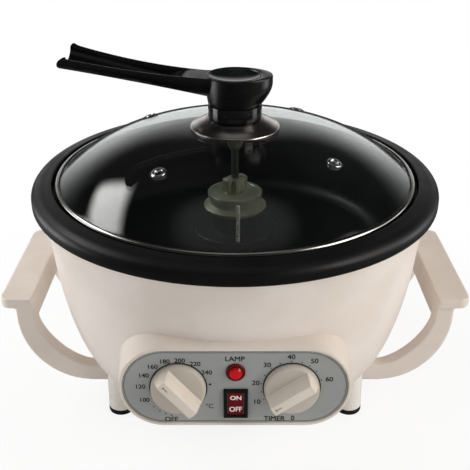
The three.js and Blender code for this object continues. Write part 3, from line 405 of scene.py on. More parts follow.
def polished_black(name, tone):
    """Glossy black with the faint ripple of a polished moulding."""
    finish = Finish(name)
    where = finish.spots()
    ripple = finish.noise(where, 60, detail=2)
    return finish.done(
        Base_Color=finish.tinted(tone, shade(tone, 2), finish.band(ripple, 0.4, 0.7)),
        Roughness=finish.varied(finish.noise(where, 260), 0.05, 0.1),
        Normal=finish.bump(ripple, strength=0.08, distance=0.0001),
    )


def turned_metal(name, tone, rough=0.2, streak=0.12, along=1400):
    """Bright metal with the fine lines of turning or polishing round its axis."""
    finish = Finish(name)
    where = finish.spots()
    lines = finish.noise(finish.turning(finish.round_axis(), along, around=3), 1, roughness=0.6)
    cloud = finish.noise(where, 45)
    return finish.done(
        Base_Color=finish.tinted(shade(tone, 0.82), tone, finish.band(cloud, 0.3, 0.6)),
        Metallic=1,
        Roughness=rough + (lines - 0.5) * streak + (cloud - 0.5) * 0.08,
        Normal=finish.bump(lines, strength=0.2, distance=0.00001),
    )


def cast_metal(name, tone, rough=0.38, grain=500):
    """Cast or stamped metal with an uneven, partly metallic skin and darker patches."""
    finish = Finish(name)
    where = finish.spots()
    skin = finish.noise(where, grain, detail=4, roughness=0.6)
    cloud = finish.noise(where, 60, detail=4)
    return finish.done(
        Base_Color=finish.tinted(shade(tone, 0.6), tone, finish.band(cloud, 0.3, 0.62)),
        Metallic=finish.band(cloud, 0.3, 0.5, 0.3, 0.5),
        Roughness=finish.varied(skin, rough - 0.1, rough + 0.12),
        Normal=finish.bump(skin, strength=0.35, distance=0.00006),
    )


def soft_rubber(name, tone):
    """Matt black rubber with a powdery skin."""
    finish = Finish(name)
    where = finish.spots()
    skin = finish.noise(where, 700)
    cloud = finish.noise(where, 50)
    return finish.done(
        Base_Color=finish.tinted(tone, shade(tone, 2.2), finish.varied(cloud)),
        Roughness=finish.varied(skin, 0.55, 0.75),
        Normal=finish.bump(skin, strength=0.4, distance=0.00006),
    )


def clear_glass(name, tint):
    """Tempered glass that lamps shine through, with faint smears of polish."""
    finish = Finish(name)
    where = finish.spots()
    smear = finish.noise(finish.spots(scale=(1, 3, 1)), 24, detail=4)
    glass = finish.shader(
        Base_Color=finish.tinted(tint, shade(tint, 0.985), finish.noise(where, 9, detail=2)),
        Roughness=finish.band(smear, 0.45, 0.75, 0.0, 0.03),
        IOR=1.46, Transmission_Weight=1.0,
    )
    passing = finish.node("ShaderNodeBsdfTransparent", None, {"Color": (*shade(tint, 0.96), 1)})
    return finish.shown(finish.mixed(finish.ray("Is Shadow Ray"), glass, passing))


def screen_paint(name, tone):
    """Silvery paint on the fascia: fine metallic fleck and a brushed drift from side to side."""
    finish = Finish(name)
    drift = finish.noise(finish.spots(scale=(6, 260, 260)), 3)
    where = finish.spots()
    fleck = finish.grains(where, 2600)
    cloud = finish.noise(where, 18)
    share = finish.varied(cloud) * 0.5 + (drift - 0.3) * 0.7 + (fleck - 0.3) * 0.35
    return finish.done(
        Base_Color=finish.tinted(shade(tone, 0.86), tone, share),
        Metallic=0.25,
        Roughness=0.42 + (drift - 0.5) * 0.16,
        Normal=finish.bump(fleck * 0.4 + drift, strength=0.12, distance=0.00003),
    )


def lens_red(name, tone, middle, lean, radius):
    """Red lens: a bright lit middle inside a deeper ring, with moulded flutes."""
    finish = Finish(name)
    where = finish.spots(location=tuple(-c for c in middle))
    where = finish.node("ShaderNodeVectorRotate", {"rotation_type": "X_AXIS"}, {
        "Vector": where, "Angle": -lean,
    })
    reach = finish.across(where)
    lit = finish.band(reach, radius * 0.52, radius * 0.72, 1, 0)
    flutes = finish.node("ShaderNodeTexWave", {"wave_type": "RINGS", "rings_direction": "Z"}, {
        "Vector": where, "Scale": 520, "Distortion": 0.4,
    })
    glow = tuple(min(c * 1.1, 1) for c in tone)
    return finish.done(
        Base_Color=finish.tinted(shade(tone, 0.3), glow, lit),
        Emission_Color=finish.tinted((0, 0, 0), tone, lit),
        Emission_Strength=0.3,
        Roughness=0.12 + finish.noise(where, 300, detail=2) * 0.1,
        Coat_Weight=0.5,
        Normal=finish.bump(flutes, strength=0.12, distance=0.0002),
    )


def lit_red(name, tone):
    """Translucent red rocker with a lamp behind it."""
    finish = Finish(name)
    where = finish.spots()
    cloud = finish.noise(where, 160)
    return finish.done(
        Base_Color=finish.tinted(shade(tone, 0.6), tone, finish.band(cloud, 0.3, 0.6)),
        Emission_Color=finish.tinted((0, 0, 0), tone, finish.band(cloud, 0.2, 0.7, 0.2, 0.6)),
        Emission_Strength=0.12,
        Roughness=finish.varied(cloud, 0.16, 0.26),
        Normal=finish.bump(cloud, strength=0.08, distance=0.0001),
    )


def print_ink(name, tone):
    """Screen-printed ink, slightly uneven."""
    finish = Finish(name)
    where = finish.spots()
    speck = finish.noise(where, 900)
    return finish.done(
        Base_Color=finish.tinted(tone, shade(tone, 1.25, 0.01), finish.band(speck, 0.45, 0.7)),
        Roughness=finish.varied(speck, 0.35, 0.5),
    )


# Meshes under work, in millimetres

def flowing(knots, count=6):
    """Places on a smooth line through knots."""
    spots = [Vector((*knot, 0)) if len(knot) == 2 else Vector(knot) for knot in knots]
    line = []
    for i, (start, end) in enumerate(zip(spots, spots[1:])):
        before = spots[max(i - 1, 0)]
        after = spots[min(i + 2, len(spots) - 1)]
        handles = start + (end - before) / 6, end - (after - start) / 6
        line += interpolate_bezier(start, *handles, end, count + 1)[:-1]
    return [(spot.x, spot.y) for spot in (*line, spots[-1])]


def angles(start, stop, step):
    """Angles in radians, at even steps in degrees."""
    return [math.radians(degrees) for degrees in range(start, stop, step)]


def cleaned(bm):
    """Merges doubles and turns every face outwards."""
    bmesh.ops.remove_doubles(bm, verts=bm.verts[:], dist=0.002)
    bmesh.ops.dissolve_degenerate(bm, edges=bm.edges[:], dist=0.001)
    bmesh.ops.recalc_face_normals(bm, faces=bm.faces[:])
    return bm


def turned(points, steps=ROUND, closed=True):
    """Spins a line of (radius, height) points round the upright axis."""
    bm = bmesh.new()
    verts = [bm.verts.new((radius, 0, height)) for radius, height in points]
    pairs = list(zip(verts, verts[1:]))
    on_axis = points[0][0] == 0 and points[-1][0] == 0
    if closed and not on_axis:
        pairs.append((verts[-1], verts[0]))
    edges = [bm.edges.new(pair) for pair in pairs]
    bmesh.ops.spin(
        bm, geom=verts + edges, cent=(0, 0, 0), axis=(0, 0, 1),
        angle=FULL_TURN, steps=steps, use_merge=True)
    return cleaned(bm)


def softened(bm, width, segments=3, angle=SHARP, only=None):
    """Rounds the edges that turn by more than an angle."""
    edges = [
        edge for edge in bm.edges
        if edge.is_manifold and edge.calc_face_angle(0) > angle and (only is None or only(edge))
    ]
    bmesh.ops.bevel(
        bm, geom=edges, offset=width, offset_type="OFFSET", segments=segments,
        profile=0.5, affect="EDGES", clamp_overlap=True, material=-1)
    return bm


def lofted(sections, ends=True):
    """Carries a closed loop from section to section, and closes both ends."""
    bm = bmesh.new()
    verts = [bm.verts.new(spot) for spot in sections[0]]
    edges = [bm.edges.new(pair) for pair in zip(verts, verts[1:] + verts[:1])]
    if ends:
        bmesh.ops.contextual_create(bm, geom=edges)
    for section in sections[1:]:
        order = {vert: i for i, vert in enumerate(verts)}
        grown = bmesh.ops.extrude_edge_only(bm, edges=edges)["geom"]
        fresh = [item for item in grown if isinstance(item, bmesh.types.BMVert)]
        found = {}
        for vert in fresh:
            for edge in vert.link_edges:
                other = edge.other_vert(vert)
                if other in order:
                    found[order[other]] = vert
        verts = [found[i] for i in range(len(verts))]
        for vert, spot in zip(verts, section):
            vert.co = spot
        edges = [bm.edges.get(pair) for pair in zip(verts, verts[1:] + verts[:1])]
    if ends:
        bmesh.ops.contextual_create(bm, geom=edges)
    bmesh.ops.recalc_face_normals(bm, faces=bm.faces[:])
    return bm


def slab(width, depth, height, middle=(0, 0, 0)):
    """A block round its middle."""
    bm = bmesh.new()
    bmesh.ops.create_cube(bm, size=1)
    bmesh.ops.scale(bm, vec=(width, depth, height), verts=bm.verts[:])
    bmesh.ops.translate(bm, vec=middle, verts=bm.verts[:])
    return bm


def set_at(bm, matrix):
    """Moves a whole mesh."""
    bmesh.ops.transform(bm, matrix=matrix, verts=bm.verts[:])
    return bm


def gathered(*meshes):
    """Several meshes as one."""
    whole = bmesh.new()
    for bm in meshes:
        mesh = bpy.data.meshes.new("part")
        bm.to_mesh(mesh)
        bm.free()
        whole.from_mesh(mesh)
        bpy.data.meshes.remove(mesh)
    return whole


def linked(name, data):
    """A new object in the scene."""
    made = bpy.data.objects.new(name, data)
    bpy.context.scene.collection.objects.link(made)
    return made


def worked_out(holder):
    """What an object's modifiers or its curve come to, as a mesh under work."""
    graph = bpy.context.evaluated_depsgraph_get()
    mesh = bpy.data.meshes.new_from_object(holder.evaluated_get(graph))
    bm = bmesh.new()
    bm.from_mesh(mesh)
    bpy.data.meshes.remove(mesh)
    return bm


def from_curve(curve):
    """Turns a curve or a line of text into a mesh under work."""
    holder = linked("line", curve)
    bm = worked_out(holder)
    bpy.data.objects.remove(holder)
    bpy.data.curves.remove(curve)
    return bm


def through_modifiers(dress, *meshes):
    """Runs modifiers on the first mesh under work and returns what they make."""
    holders = []
    for bm in meshes:
        mesh = bpy.data.meshes.new("work")
        bm.to_mesh(mesh)
        bm.free()
        holders.append(linked("work", mesh))
    dress(*holders)
    result = worked_out(holders[0])
    for holder in holders:
        mesh = holder.data
        bpy.data.objects.remove(holder)
        bpy.data.meshes.remove(mesh)
    return result


def carved(bm, *cutters):
    """Cuts closed meshes out of another."""
    def dress(host, *tools):
        for tool in tools:
            step = host.modifiers.new("carve", "BOOLEAN")
            step.operation = "DIFFERENCE"
            step.solver = "EXACT"
            step.object = tool
    return through_modifiers(dress, bm, *cutters)


def melted(bm, grain, passes):
    """Melts overlapping closed shapes into one skin with small fillets."""
    def dress(host):
        skin = host.modifiers.new("skin", "REMESH")
        skin.mode = "VOXEL"
        skin.voxel_size = grain
        ease = host.modifiers.new("ease", "SMOOTH")
        ease.factor = 0.5
        ease.iterations = passes
    return through_modifiers(dress, bm)


def bridged(bm):
    """Joins the first and the last loop of a mesh that goes round."""
    bmesh.ops.bridge_loops(bm, edges=[edge for edge in bm.edges if edge.is_boundary])
    bmesh.ops.recalc_face_normals(bm, faces=bm.faces[:])
    return bm


def piece(bm, name, node, material, sharp=SHARP):
    """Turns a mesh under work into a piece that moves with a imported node's body."""
    bmesh.ops.scale(bm, vec=(MM, MM, MM), verts=bm.verts[:])
    bmesh.ops.translate(bm, vec=AXIS, verts=bm.verts[:])
    mesh = bpy.data.meshes.new(name)
    bm.to_mesh(mesh)
    bm.free()
    mesh.materials.append(material)
    mesh.shade_smooth()
    mesh.set_sharp_from_angle(angle=sharp)
    made = linked(name, mesh)
    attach(made, body_of[node])
    return made


def cover(bm, name, node, material, sharp=SHARP):
    """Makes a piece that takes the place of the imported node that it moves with."""
    made = piece(bm, name, node, material, sharp)
    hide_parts(node)
    return made


def walled(made, wall):
    """Gives an open skin its wall, on the inner side."""
    thick = made.modifiers.new("wall", "SOLIDIFY")
    thick.thickness = wall
    thick.offset = -1
    thick.use_even_offset = True


def panel_frame(sizes):
    """The control panel's own frame: X right, Y up its face, Z outwards, in millimetres."""
    place = Vector(sizes.panel_place) / MM
    return Matrix.Translation(place) @ Matrix.Rotation(math.pi / 2 - sizes.panel_tilt, 4, "X")


def middle_of(node):
    """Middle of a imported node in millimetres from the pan's axis."""
    return (low(node) + high(node)) / 2


def turn_about(axis, angle):
    return Matrix.Rotation(angle, 4, axis)


def shift(x, y, z):
    return Matrix.Translation((x, y, z))


def stadium(reach, radius, height, steps=20):
    """A flat loop with two straight sides and two round ends."""
    loop = []
    for side in (1, -1):
        for i in range(steps + 1):
            angle = side * math.pi / 2 * -1 + math.pi * i / steps
            loop.append((side * reach + radius * math.cos(angle), radius * math.sin(angle), height))
    return loop


def words(text, height, middle, panel, bold, lift=0.06, wide=1.06):
    """Raised lettering with a given height of its capitals, made bold by four shifted copies."""
    curve = bpy.data.curves.new("letters", "FONT")
    curve.body = text
    curve.size = 10
    curve.resolution_u = 4
    bm = from_curve(curve)
    rows = [vert.co.y for vert in bm.verts]
    columns = [vert.co.x for vert in bm.verts]
    size = height / (max(rows) - min(rows))
    centre = ((max(columns) + min(columns)) / 2, (max(rows) + min(rows)) / 2, 0)
    set_at(bm, Matrix.Diagonal((size * wide, size, size, 1)) @ shift(*(-c for c in centre)))
    layers = [bm, bm.copy(), bm.copy(), bm.copy()]
    corners = ((-1, -0.6), (-1, 0.6), (1, -0.6), (1, 0.6))
    bm = gathered(*(
        set_at(layer, shift(bold * x, bold * y, 0.004 * i))
        for i, (layer, (x, y)) in enumerate(zip(layers, corners))
    ))
    raised = bmesh.ops.extrude_face_region(bm, geom=bm.faces[:])["geom"]
    top = [item for item in raised if isinstance(item, bmesh.types.BMVert)]
    bmesh.ops.translate(bm, vec=(0, 0, lift), verts=top)
    bmesh.ops.recalc_face_normals(bm, faces=bm.faces[:])
    return set_at(bm, panel @ shift(*middle))


def dot(radius, middle, panel, lift=0.06):
    """A small printed dot."""
    bm = bmesh.new()
    bmesh.ops.create_cone(
        bm, cap_ends=True, segments=20, radius1=radius, radius2=radius, depth=lift)
    return set_at(bm, panel @ shift(*middle) @ shift(0, 0, lift / 2))


# Shapes that several pieces share, first the radius and height of the bowl's outer face

BODY_KNOTS = [
    (98, 10), (108.5, 13.4), (120.6, 23.9), (129.9, 40), (137, 60),
    (142.6, 85), (146.3, 110.1), (148.5, 134.7), (151.7, 151.7), (155, 164),
]


def bowl_solid(inset):
    """The space inside the bowl's outer face, drawn in by a little, as a cutter."""
    line = flowing(BODY_KNOTS, count=5)
    grown = [(radius - inset, height) for radius, height in line]
    return turned([(0, line[0][1]), *grown, (0, line[-1][1])])


def glass_height(sizes, radius):
    """Height of the lid's outer face at a distance from its middle."""
    return high("glass_lid").z - GLASS_RISE * (radius / (sizes.glass_radius / MM)) ** 3


class PieceOperator:
    """What every piece's button shares: it reads the settings and reports that it is done."""

    bl_options = {"REGISTER", "UNDO"}

    def execute(self, context):
        scene = context.scene
        self.sizes = scene.roaster_sizes
        self.tones = {
            key: tuple(getattr(scene.roaster_finishes, key))
            for key in RoasterFinishes.__annotations__
        }
        self.build(context)
        return {"FINISHED"}


class ROASTER_OT_bowl(PieceOperator, bpy.types.Operator):
    """Bowl-shaped body with its window behind the control panel"""

    bl_idname = "roaster.bowl"
    bl_label = "Bowl"

    def build(self, context):
        opening, collar, collar_top = 84, 152.4, 174.2
        window_level, window_reach, window_height = 85, 62, 21
        line = flowing(BODY_KNOTS)
        skin = turned([
            (opening, line[0][1]), *line, (collar, line[-1][1] + 0.4), (collar, collar_top),
        ], closed=False)
        inside = Vector((0, 0, 60))
        bmesh.ops.reverse_faces(skin, faces=[
            face for face in skin.faces
            if face.normal.dot(face.calc_center_median() - inside) < 0
        ])
        self.open_window(skin, window_level, window_reach, window_height)
        self.open_bush_hole(skin, BUSH_LEVEL, half=6.8)
        cream = satin_cream("bowl_cream", self.tones["body_cream"])
        walled(cover(skin, "bowl", "body_shell", cream), self.sizes.body_wall)

    def near(self, skin, side, level, width, height):
        """Faces at the front, side -1, or at the back, side 1, about a level."""
        chosen = []
        for face in skin.faces:
            spot = face.calc_center_median()
            if spot.y * side > 100 and abs(spot.x) < width and abs(spot.z - level) < height:
                chosen.append(face)
        return chosen

    def open_window(self, skin, level, width, height):
        """Takes away the faces behind the panel, where the dials' works pass through."""
        bmesh.ops.delete(skin, geom=self.near(skin, -1, level, width, height), context="FACES")

    def open_bush_hole(self, skin, level, half):
        """Cuts a square behind the flange of the cord's bush."""
        across, upright = Vector((1, 0, 0)), Vector((0, 0, 1))
        cuts = (across, -half), (across, half), (upright, level - half), (upright, level + half)
        for normal, place in cuts:
            near = self.near(skin, 1, level, half * 3, half * 3)
            edges = list({edge for face in near for edge in face.edges})
            verts = list({vert for face in near for vert in face.verts})
            bmesh.ops.bisect_plane(
                skin, geom=near + edges + verts, plane_co=normal * place, plane_no=normal)
        bmesh.ops.delete(skin, geom=self.near(skin, 1, level, half, half), context="FACES")


class ROASTER_OT_pan(PieceOperator, bpy.types.Operator):
    """Roasting pan with its lid seat and rolled rim"""

    bl_idname = "roaster.pan"
    bl_label = "Roasting pan"

    def build(self, context):
        rim = self.sizes.rim_radius / MM
        roll_width, roll_height, roll_level = 10.2, 7.1, 170.3
        bend, bend_reach, bend_level = 14, 112, 129.2
        floor, neck_radius, neck_top = 115.2, 12, 123.2
        seat, seat_radius = 171.2, 143.4
        roll = [
            (rim - roll_width + roll_width * math.cos(a), roll_level + roll_height * math.sin(a))
            for a in angles(88, -1, -8)
        ]
        corner = [
            (bend_reach + bend * math.sin(a), bend_level - bend * math.cos(a))
            for a in angles(0, 76, 8)
        ]
        line = [
            (6.3, neck_top), (neck_radius, neck_top), (neck_radius, floor), *corner, (135, seat),
            (seat_radius, seat), (seat_radius, 178.6), (146.2, 178.1), *roll,
            (rim, roll_level - 2), (rim, 166),
        ]
        skin = turned(line, closed=False)
        bmesh.ops.reverse_faces(skin, faces=self.inward(skin))
        softened(skin, 0.9, angle=math.radians(30), only=lambda edge: edge.verts[0].co.xy.length > 130)
        softened(skin, 1.4, angle=math.radians(40), only=lambda edge: edge.verts[0].co.xy.length < 20)
        coating = non_stick("pan_coating", self.tones["pan_black"])
        walled(cover(skin, "pan", "roasting_pan", coating), self.sizes.pan_wall)

    def inward(self, skin):
        """Faces whose front points into the metal."""
        neck, seat_inner, seat_outer = 12.5, 143, 144
        wrong = []
        for face in skin.faces:
            middle = face.calc_center_median()
            reach = middle.xy.length
            facing = face.normal.dot(Vector((middle.x, middle.y, 0)).normalized())
            steep = abs(face.normal.z) < 0.5
            if steep and seat_inner < reach < seat_outer:
                seen = facing < 0
            elif reach > seat_inner:
                seen = face.normal.z > 0.05 or facing > 0
            elif steep and reach < neck:
                seen = facing > 0
            else:
                seen = face.normal.z > 0
            if not seen:
                wrong.append(face)
        return wrong


class ROASTER_OT_glass(PieceOperator, bpy.types.Operator):
    """Domed glass lid"""

    bl_idname = "roaster.glass"
    bl_label = "Glass lid"

    def build(self, context):
        sizes = self.sizes
        edge, wall = sizes.glass_radius / MM, sizes.glass_wall / MM
        hole, rings = 4.2, 26
        reaches = [hole + (edge - hole) * i / rings for i in range(rings + 1)]
        outside = [(reach, glass_height(sizes, reach)) for reach in reaches]
        inside = [(reach, height - wall) for reach, height in outside]
        dome = turned([*inside, *reversed(outside)])
        softened(dome, 0.8, angle=math.radians(50), only=lambda edge: edge.verts[0].co.xy.length > 100)
        glass = clear_glass("tempered_glass", self.tones["glass_tint"])
        cover(dome, "glass_dome", "glass_lid", glass)


class ROASTER_OT_ring(PieceOperator, bpy.types.Operator):
    """Stainless ring round the edge of the glass"""

    bl_idname = "roaster.ring"
    bl_label = "Lid ring"

    def build(self, context):
        outer = high("lid_ring").x
        bottom = low("lid_ring").z
        lip = outer - 3.2
        over = glass_height(self.sizes, lip) + 0.25
        line = [
            (lip, bottom), (outer - 0.5, bottom), (outer, bottom + 0.5), (outer, bottom + 5.2),
            (outer - 0.15, bottom + 6), (outer - 0.6, bottom + 6.8), (outer - 1.3, bottom + 7.3),
            (outer - 2.1, bottom + 7.6), (lip + 0.4, over + 0.8), (lip, over + 0.45), (lip, over),
            (outer - 1, over - 1.3), (outer - 1, bottom + 1.2), (lip, bottom + 0.9),
        ]
        steel = turned_metal("ring_steel", self.tones["steel"], streak=0.14)
        cover(turned(line), "glass_ring", "lid_ring", steel)


class ROASTER_OT_eyelets(PieceOperator, bpy.types.Operator):
    """Four riveted vent eyelets"""

    bl_idname = "roaster.eyelets"
    bl_label = "Vent eyelets"

    def build(self, context):
        half = 2.05
        tube = [
            (2.6, -half - 0.9), (3.2, -half - 1.3), (5, -half - 1), (5.4, -half), (4.3, -half),
            (4.3, half), (5.4, half), (5.35, half + 0.4), (4.9, half + 0.95), (4.1, half + 1.25),
            (3.3, half + 1.15), (2.7, half + 0.6), (2.5, half - 0.2),
        ]
        # Thin black rings on the glass, a little wider than each eyelet's flange.
        washer = [
            (4.5, half + 0.02), (6.4, half + 0.02), (6.5, half + 0.2), (6.2, half + 0.4),
            (4.5, half + 0.4),
        ]
        chrome = turned_metal("eyelet_chrome", colour("E2E2E2"), rough=0.22, streak=0.05)
        edge = self.sizes.glass_radius / MM
        gaskets = []
        for i in range(1, 5):
            node = f"vent_eyelet_{i}"
            middle = middle_of(node)
            reach = middle.xy.length
            lean = math.atan(3 * GLASS_RISE * reach ** 2 / edge ** 3)
            heading = math.atan2(middle.y, middle.x)
            level = glass_height(self.sizes, reach) - self.sizes.glass_wall / MM / 2
            matrix = shift(middle.x, middle.y, level) @ turn_about("Z", heading) @ turn_about("Y", lean)
            cover(set_at(turned(tube, steps=40), matrix), f"eyelet_{i}", node, chrome)
            gaskets.append(set_at(turned(washer, steps=40), matrix))
        rubber = soft_rubber("gasket_rubber", colour("0C0C0C"))
        piece(gathered(*gaskets), "gaskets", "glass_lid", rubber)


class ROASTER_OT_knob(PieceOperator, bpy.types.Operator):
    """Chrome skirt and glossy post of the lid's knob, with the washer and bush below"""

    bl_idname = "roaster.knob"
    bl_label = "Lid knob"

    def build(self, context):
        self.skirt()
        self.post()
        self.washer()
        self.bush()

    def skirt(self):
        reach, base, top = high("knob_skirt").x, low("knob_skirt").z, high("knob_skirt").z
        slope = flowing([
            (reach, base + 0.5), (reach - 0.5, base + 1.3), (reach - 2.4, base + 2.3),
            (28.6, base + 4.3), (25, base + 6), (22.6, base + 7.2), (21.2, top),
        ], count=5)
        line = [
            (BOLT_BORE, top - 0.9), (20.6, top - 0.9), (24.6, base + 5), (reach - 1.2, base + 0.9),
            (reach - 0.6, base), (reach - 0.1, base + 0.1), *slope, (BOLT_BORE, top),
        ]
        chrome = turned_metal("skirt_chrome", colour("D2CAC4"), rough=0.24, streak=0.03, along=700)
        cover(turned(line), "skirt", "knob_skirt", chrome)

    def post(self):
        reach, base, top = high("knob_post").x, low("knob_post").z, high("knob_post").z
        line = [
            (BOLT_BORE, base), (reach - 0.5, base), (reach, base + 0.5), (reach, top - 0.5),
            (reach - 0.5, top), (BOLT_BORE, top),
        ]
        gloss = polished_black("post_gloss", colour("0A0A0B"))
        cover(turned(line), "post", "knob_post", gloss)

    def washer(self):
        base, top = low("lid_washer").z, high("lid_washer").z
        line = [(BOLT_BORE, base), (14, base), (14, top), (BOLT_BORE, top)]
        rubber = soft_rubber("washer_rubber", colour("161616"))
        cover(softened(turned(line, SMALL_ROUND), 0.4, segments=2), "washer", "lid_washer", rubber)

    def bush(self):
        base, top = low("guide_bush").z, high("guide_bush").z
        line = [
            (0, base + 12.4), (3.8, base + 12.4), (3.8, base), (4.3, base), (4.6, base + 0.4),
            (5.9, base + 3.4), (6.2, base + 4), (6.2, top), (0, top),
        ]
        metal = cast_metal("bush_metal", colour("8C8D84"), rough=0.4, grain=700)
        cover(turned(line, SMALL_ROUND), "bush", "guide_bush", metal)


class ROASTER_OT_lever(PieceOperator, bpy.types.Operator):
    """Lid lever: a cup-shaped collar and a long upturned trough, with its cap and screws"""

    bl_idname = "roaster.lever"
    bl_label = "Lid lever"

    def build(self, context):
        black = moulded_black("lever_moulding", self.tones["lever_black"])
        whole = gathered(self.collar(), self.arm())
        cover(whole, "lever", "lid_lever", black, sharp=math.radians(40))
        self.cap()
        self.screws()

    def level(self, along):
        """Height of the trough's rim at a share of its length."""
        start, slope, upturn = 255.2, 8.2, 10.3
        return start + slope * along + upturn * along ** 2

    def collar(self):
        """A cup that swells upwards, is drawn out towards the arm, and holds the cap's dish."""
        base, height, sides = low("lid_lever").z, 21.6, 96
        foot, swelling, nose = 20.7, 1.5, 6.4
        dish, dish_depth = 19.9, 5.9

        def loop(rise, grow=0.0, lift=0.0, reach=None):
            swell = math.sin(min(rise * 1.35, 1) * math.pi / 2)
            spots = []
            for i in range(sides):
                angle = FULL_TURN * i / sides
                drawn = max(math.cos(angle), 0) ** 3 * nose
                radius = foot + swell * (swelling + drawn) + grow if reach is None else reach
                spots.append((
                    radius * math.cos(angle), radius * math.sin(angle), base + rise * height + lift,
                ))
            return spots

        return lofted([
            loop(0, -0.6), loop(0, -0.15, 0.25), loop(0, 0, 0.8),
            *[loop(i / 10) for i in range(1, 10)],
            loop(1, 0, -0.9), loop(1, -0.25, -0.25), loop(1, -0.9, 0),
            loop(1, 0, 0, 20.6), loop(1, 0, -0.25, 20.1),
            *[
                loop(1, 0, -dish_depth * math.cos(a), dish * math.sin(a))
                for a in map(math.radians, (84, 72, 58, 44, 30, 14))
            ],
        ])

    def section(self, along, slot):
        """The trough's outline across the arm, with its slot at a share of the full depth."""
        narrow, widening = 27, 19
        deep, taper, deepening = 16, 16, 11.6
        half = (narrow + widening * along ** 1.7) / 2
        depth = deep - taper * along + deepening * along ** 2
        wall = self.sizes.lever_wall / MM
        lip, rows = 0.7, 24

        def arc(reach, drop):
            line = []
            for i in range(1, rows):
                angle = math.pi + math.pi * i / rows
                c, s = math.cos(angle), math.sin(angle)
                line.append((
                    reach * math.copysign(abs(c) ** 0.8, c), -drop * abs(s) ** 0.8,
                ))
            return line

        inner = half - wall
        inside = [(y, z * slot) for y, z in arc(inner, depth - wall)]
        left = [
            (-inner, -lip * slot), (-inner - 0.2, -0.2 * slot), (-inner - lip, 0),
            (-half + lip, 0), (-half + 0.2, -0.2), (-half, -lip),
        ]
        right = [(-y, z) for y, z in reversed(left)]
        return [*arc(half, depth), *right, *reversed(inside), *left]

    def arm(self):
        """The trough, from inside the collar to its slanted and rounded tip."""
        length = self.sizes.lever_length / MM
        start, root, rounding = 20, 20.4, 6
        slot_start, slot_run = 13, 22
        reaches = [
            -1, 2.5, 8, 14, 17, 20, 23, 27, 32, 38, 46, 54, 62, 70, 78, 86, 93, 98, 101.5, 104, 106,
        ]
        sections = []
        for reach in reaches:
            along = max(reach, 0) / length
            slot = min(max((reach - slot_start) / slot_run, 0), 1)
            slot = slot * slot * (3 - 2 * slot)
            crest = self.level(along)
            spots = []
            for y, z in self.section(along, slot):
                if reach < 0:
                    spots.append((-math.sqrt(root ** 2 - y ** 2), y, crest + z))
                    continue
                trim, corner = 0, 8 if y < 0 else 3
                if reach > length - rounding and z > -corner:
                    share = (reach - (length - rounding)) / rounding
                    trim = share * corner * (1 - math.sqrt(max(1 - (1 + z / corner) ** 2, 0)))
                longer = -y * along ** 6 * 0.12 if y < 0 else 0
                spots.append((-(start + reach - trim + longer), y, crest + z))
            sections.append(spots)
        return lofted(sections)

    def cap(self):
        radius, level = 19.6, 255.8
        rows = [math.radians(d) for d in (0, 10, 20, 32, 44, 56, 66, 75)]
        under = [(radius * math.sin(a), level - 5.6 * math.cos(a)) for a in rows]
        over = [(radius * math.sin(a), level - 4.2 * math.cos(a)) for a in reversed(rows)]
        gloss = polished_black("cap_gloss", colour("121815"))
        cover(turned([*under, *over], steps=96), "cap", "lever_cap", gloss)

    def screws(self):
        bright = cast_metal("screw_bright", colour("F0EFEC"), rough=0.28)
        for i in (1, 2):
            node = f"lever_screw_{i}"
            head = turned([(0, -0.8), (2, -0.8), (2, -0.1), (1.7, 0.35), (1, 0.6), (0, 0.65)], steps=28)
            slotted = carved(head, slab(5, 0.5, 0.9, (0, 0, 0.7)), slab(0.5, 5, 0.9, (0, 0, 0.7)))
            lean = math.atan(0.12 + 0.14 * (i - 1))
            set_at(slotted, shift(*middle_of(node)) @ turn_about("Y", lean))
            cover(slotted, f"lever_bolt_{i}", node, bright)


class ROASTER_OT_handles(PieceOperator, bpy.types.Operator):
    """Two side handles, each a flat grip over a web and two curved straps"""

    bl_idname = "roaster.handles"
    bl_label = "Handles"

    def build(self, context):
        tone = self.tones["handle_cream"]
        cream = satin_cream("handle_moulding", tone, rough=0.4, grain=700, depth=0.00003)
        for side, name in ((1, "right"), (-1, "left")):
            bm = self.shape()
            if side < 0:
                set_at(bm, turn_about("Z", math.pi))
            cover(bm, f"grip_{name}", f"handle_{name}", cream, sharp=math.radians(60))

    def shape(self):
        """The right handle, melted into one skin and cut off at the bowl."""
        inner, outer, top, thick = 159, 184.4, 94, 8
        half, corner = 61, 9
        strap_inner, strap_outer = 47.8, 59.8
        web_depth, web_height = 13, 23.6
        rounding = [
            (outer - corner + corner * math.sin(a), -half + corner - corner * math.cos(a))
            for a in angles(0, 91, 9)
        ]
        edge = [(inner, -half), *rounding, *[(x, -y) for x, y in reversed(rounding)], (inner, half)]
        plate = lofted([[(x, y, z) for x, y in edge] for z in (top - thick, top)])
        web = slab(
            web_depth, 2 * strap_outer, web_height, (inner + web_depth / 2, 0, top - web_height / 2))
        straps = [
            self.strap(y0, y1)
            for y0, y1 in ((-strap_outer, -strap_inner), (strap_inner, strap_outer))
        ]
        whole = melted(gathered(plate, web, *straps), self.sizes.handle_grain / MM, passes=4)
        return carved(whole, bowl_solid(inset=0.8))

    def strap(self, y0, y1):
        """One curved strap, from under the grip down to the bowl."""
        root, shoulder = 117, 76

        def curve(spread, drop, power):
            return [
                (
                    root + spread * math.cos(a) ** (2 / power),
                    shoulder - drop * math.sin(a) ** (2 / power),
                )
                for a in angles(0, 91, 5)
            ]

        outside, inside = curve(55, 60, 2), curve(41, 46, 1.6)
        line = [
            (172, 90), (158, 90), *inside, (104, inside[-1][1]), (104, outside[-1][1]),
            *reversed(outside),
        ]
        return lofted([[(x, y, z) for x, z in line] for y in (y0, y1)])


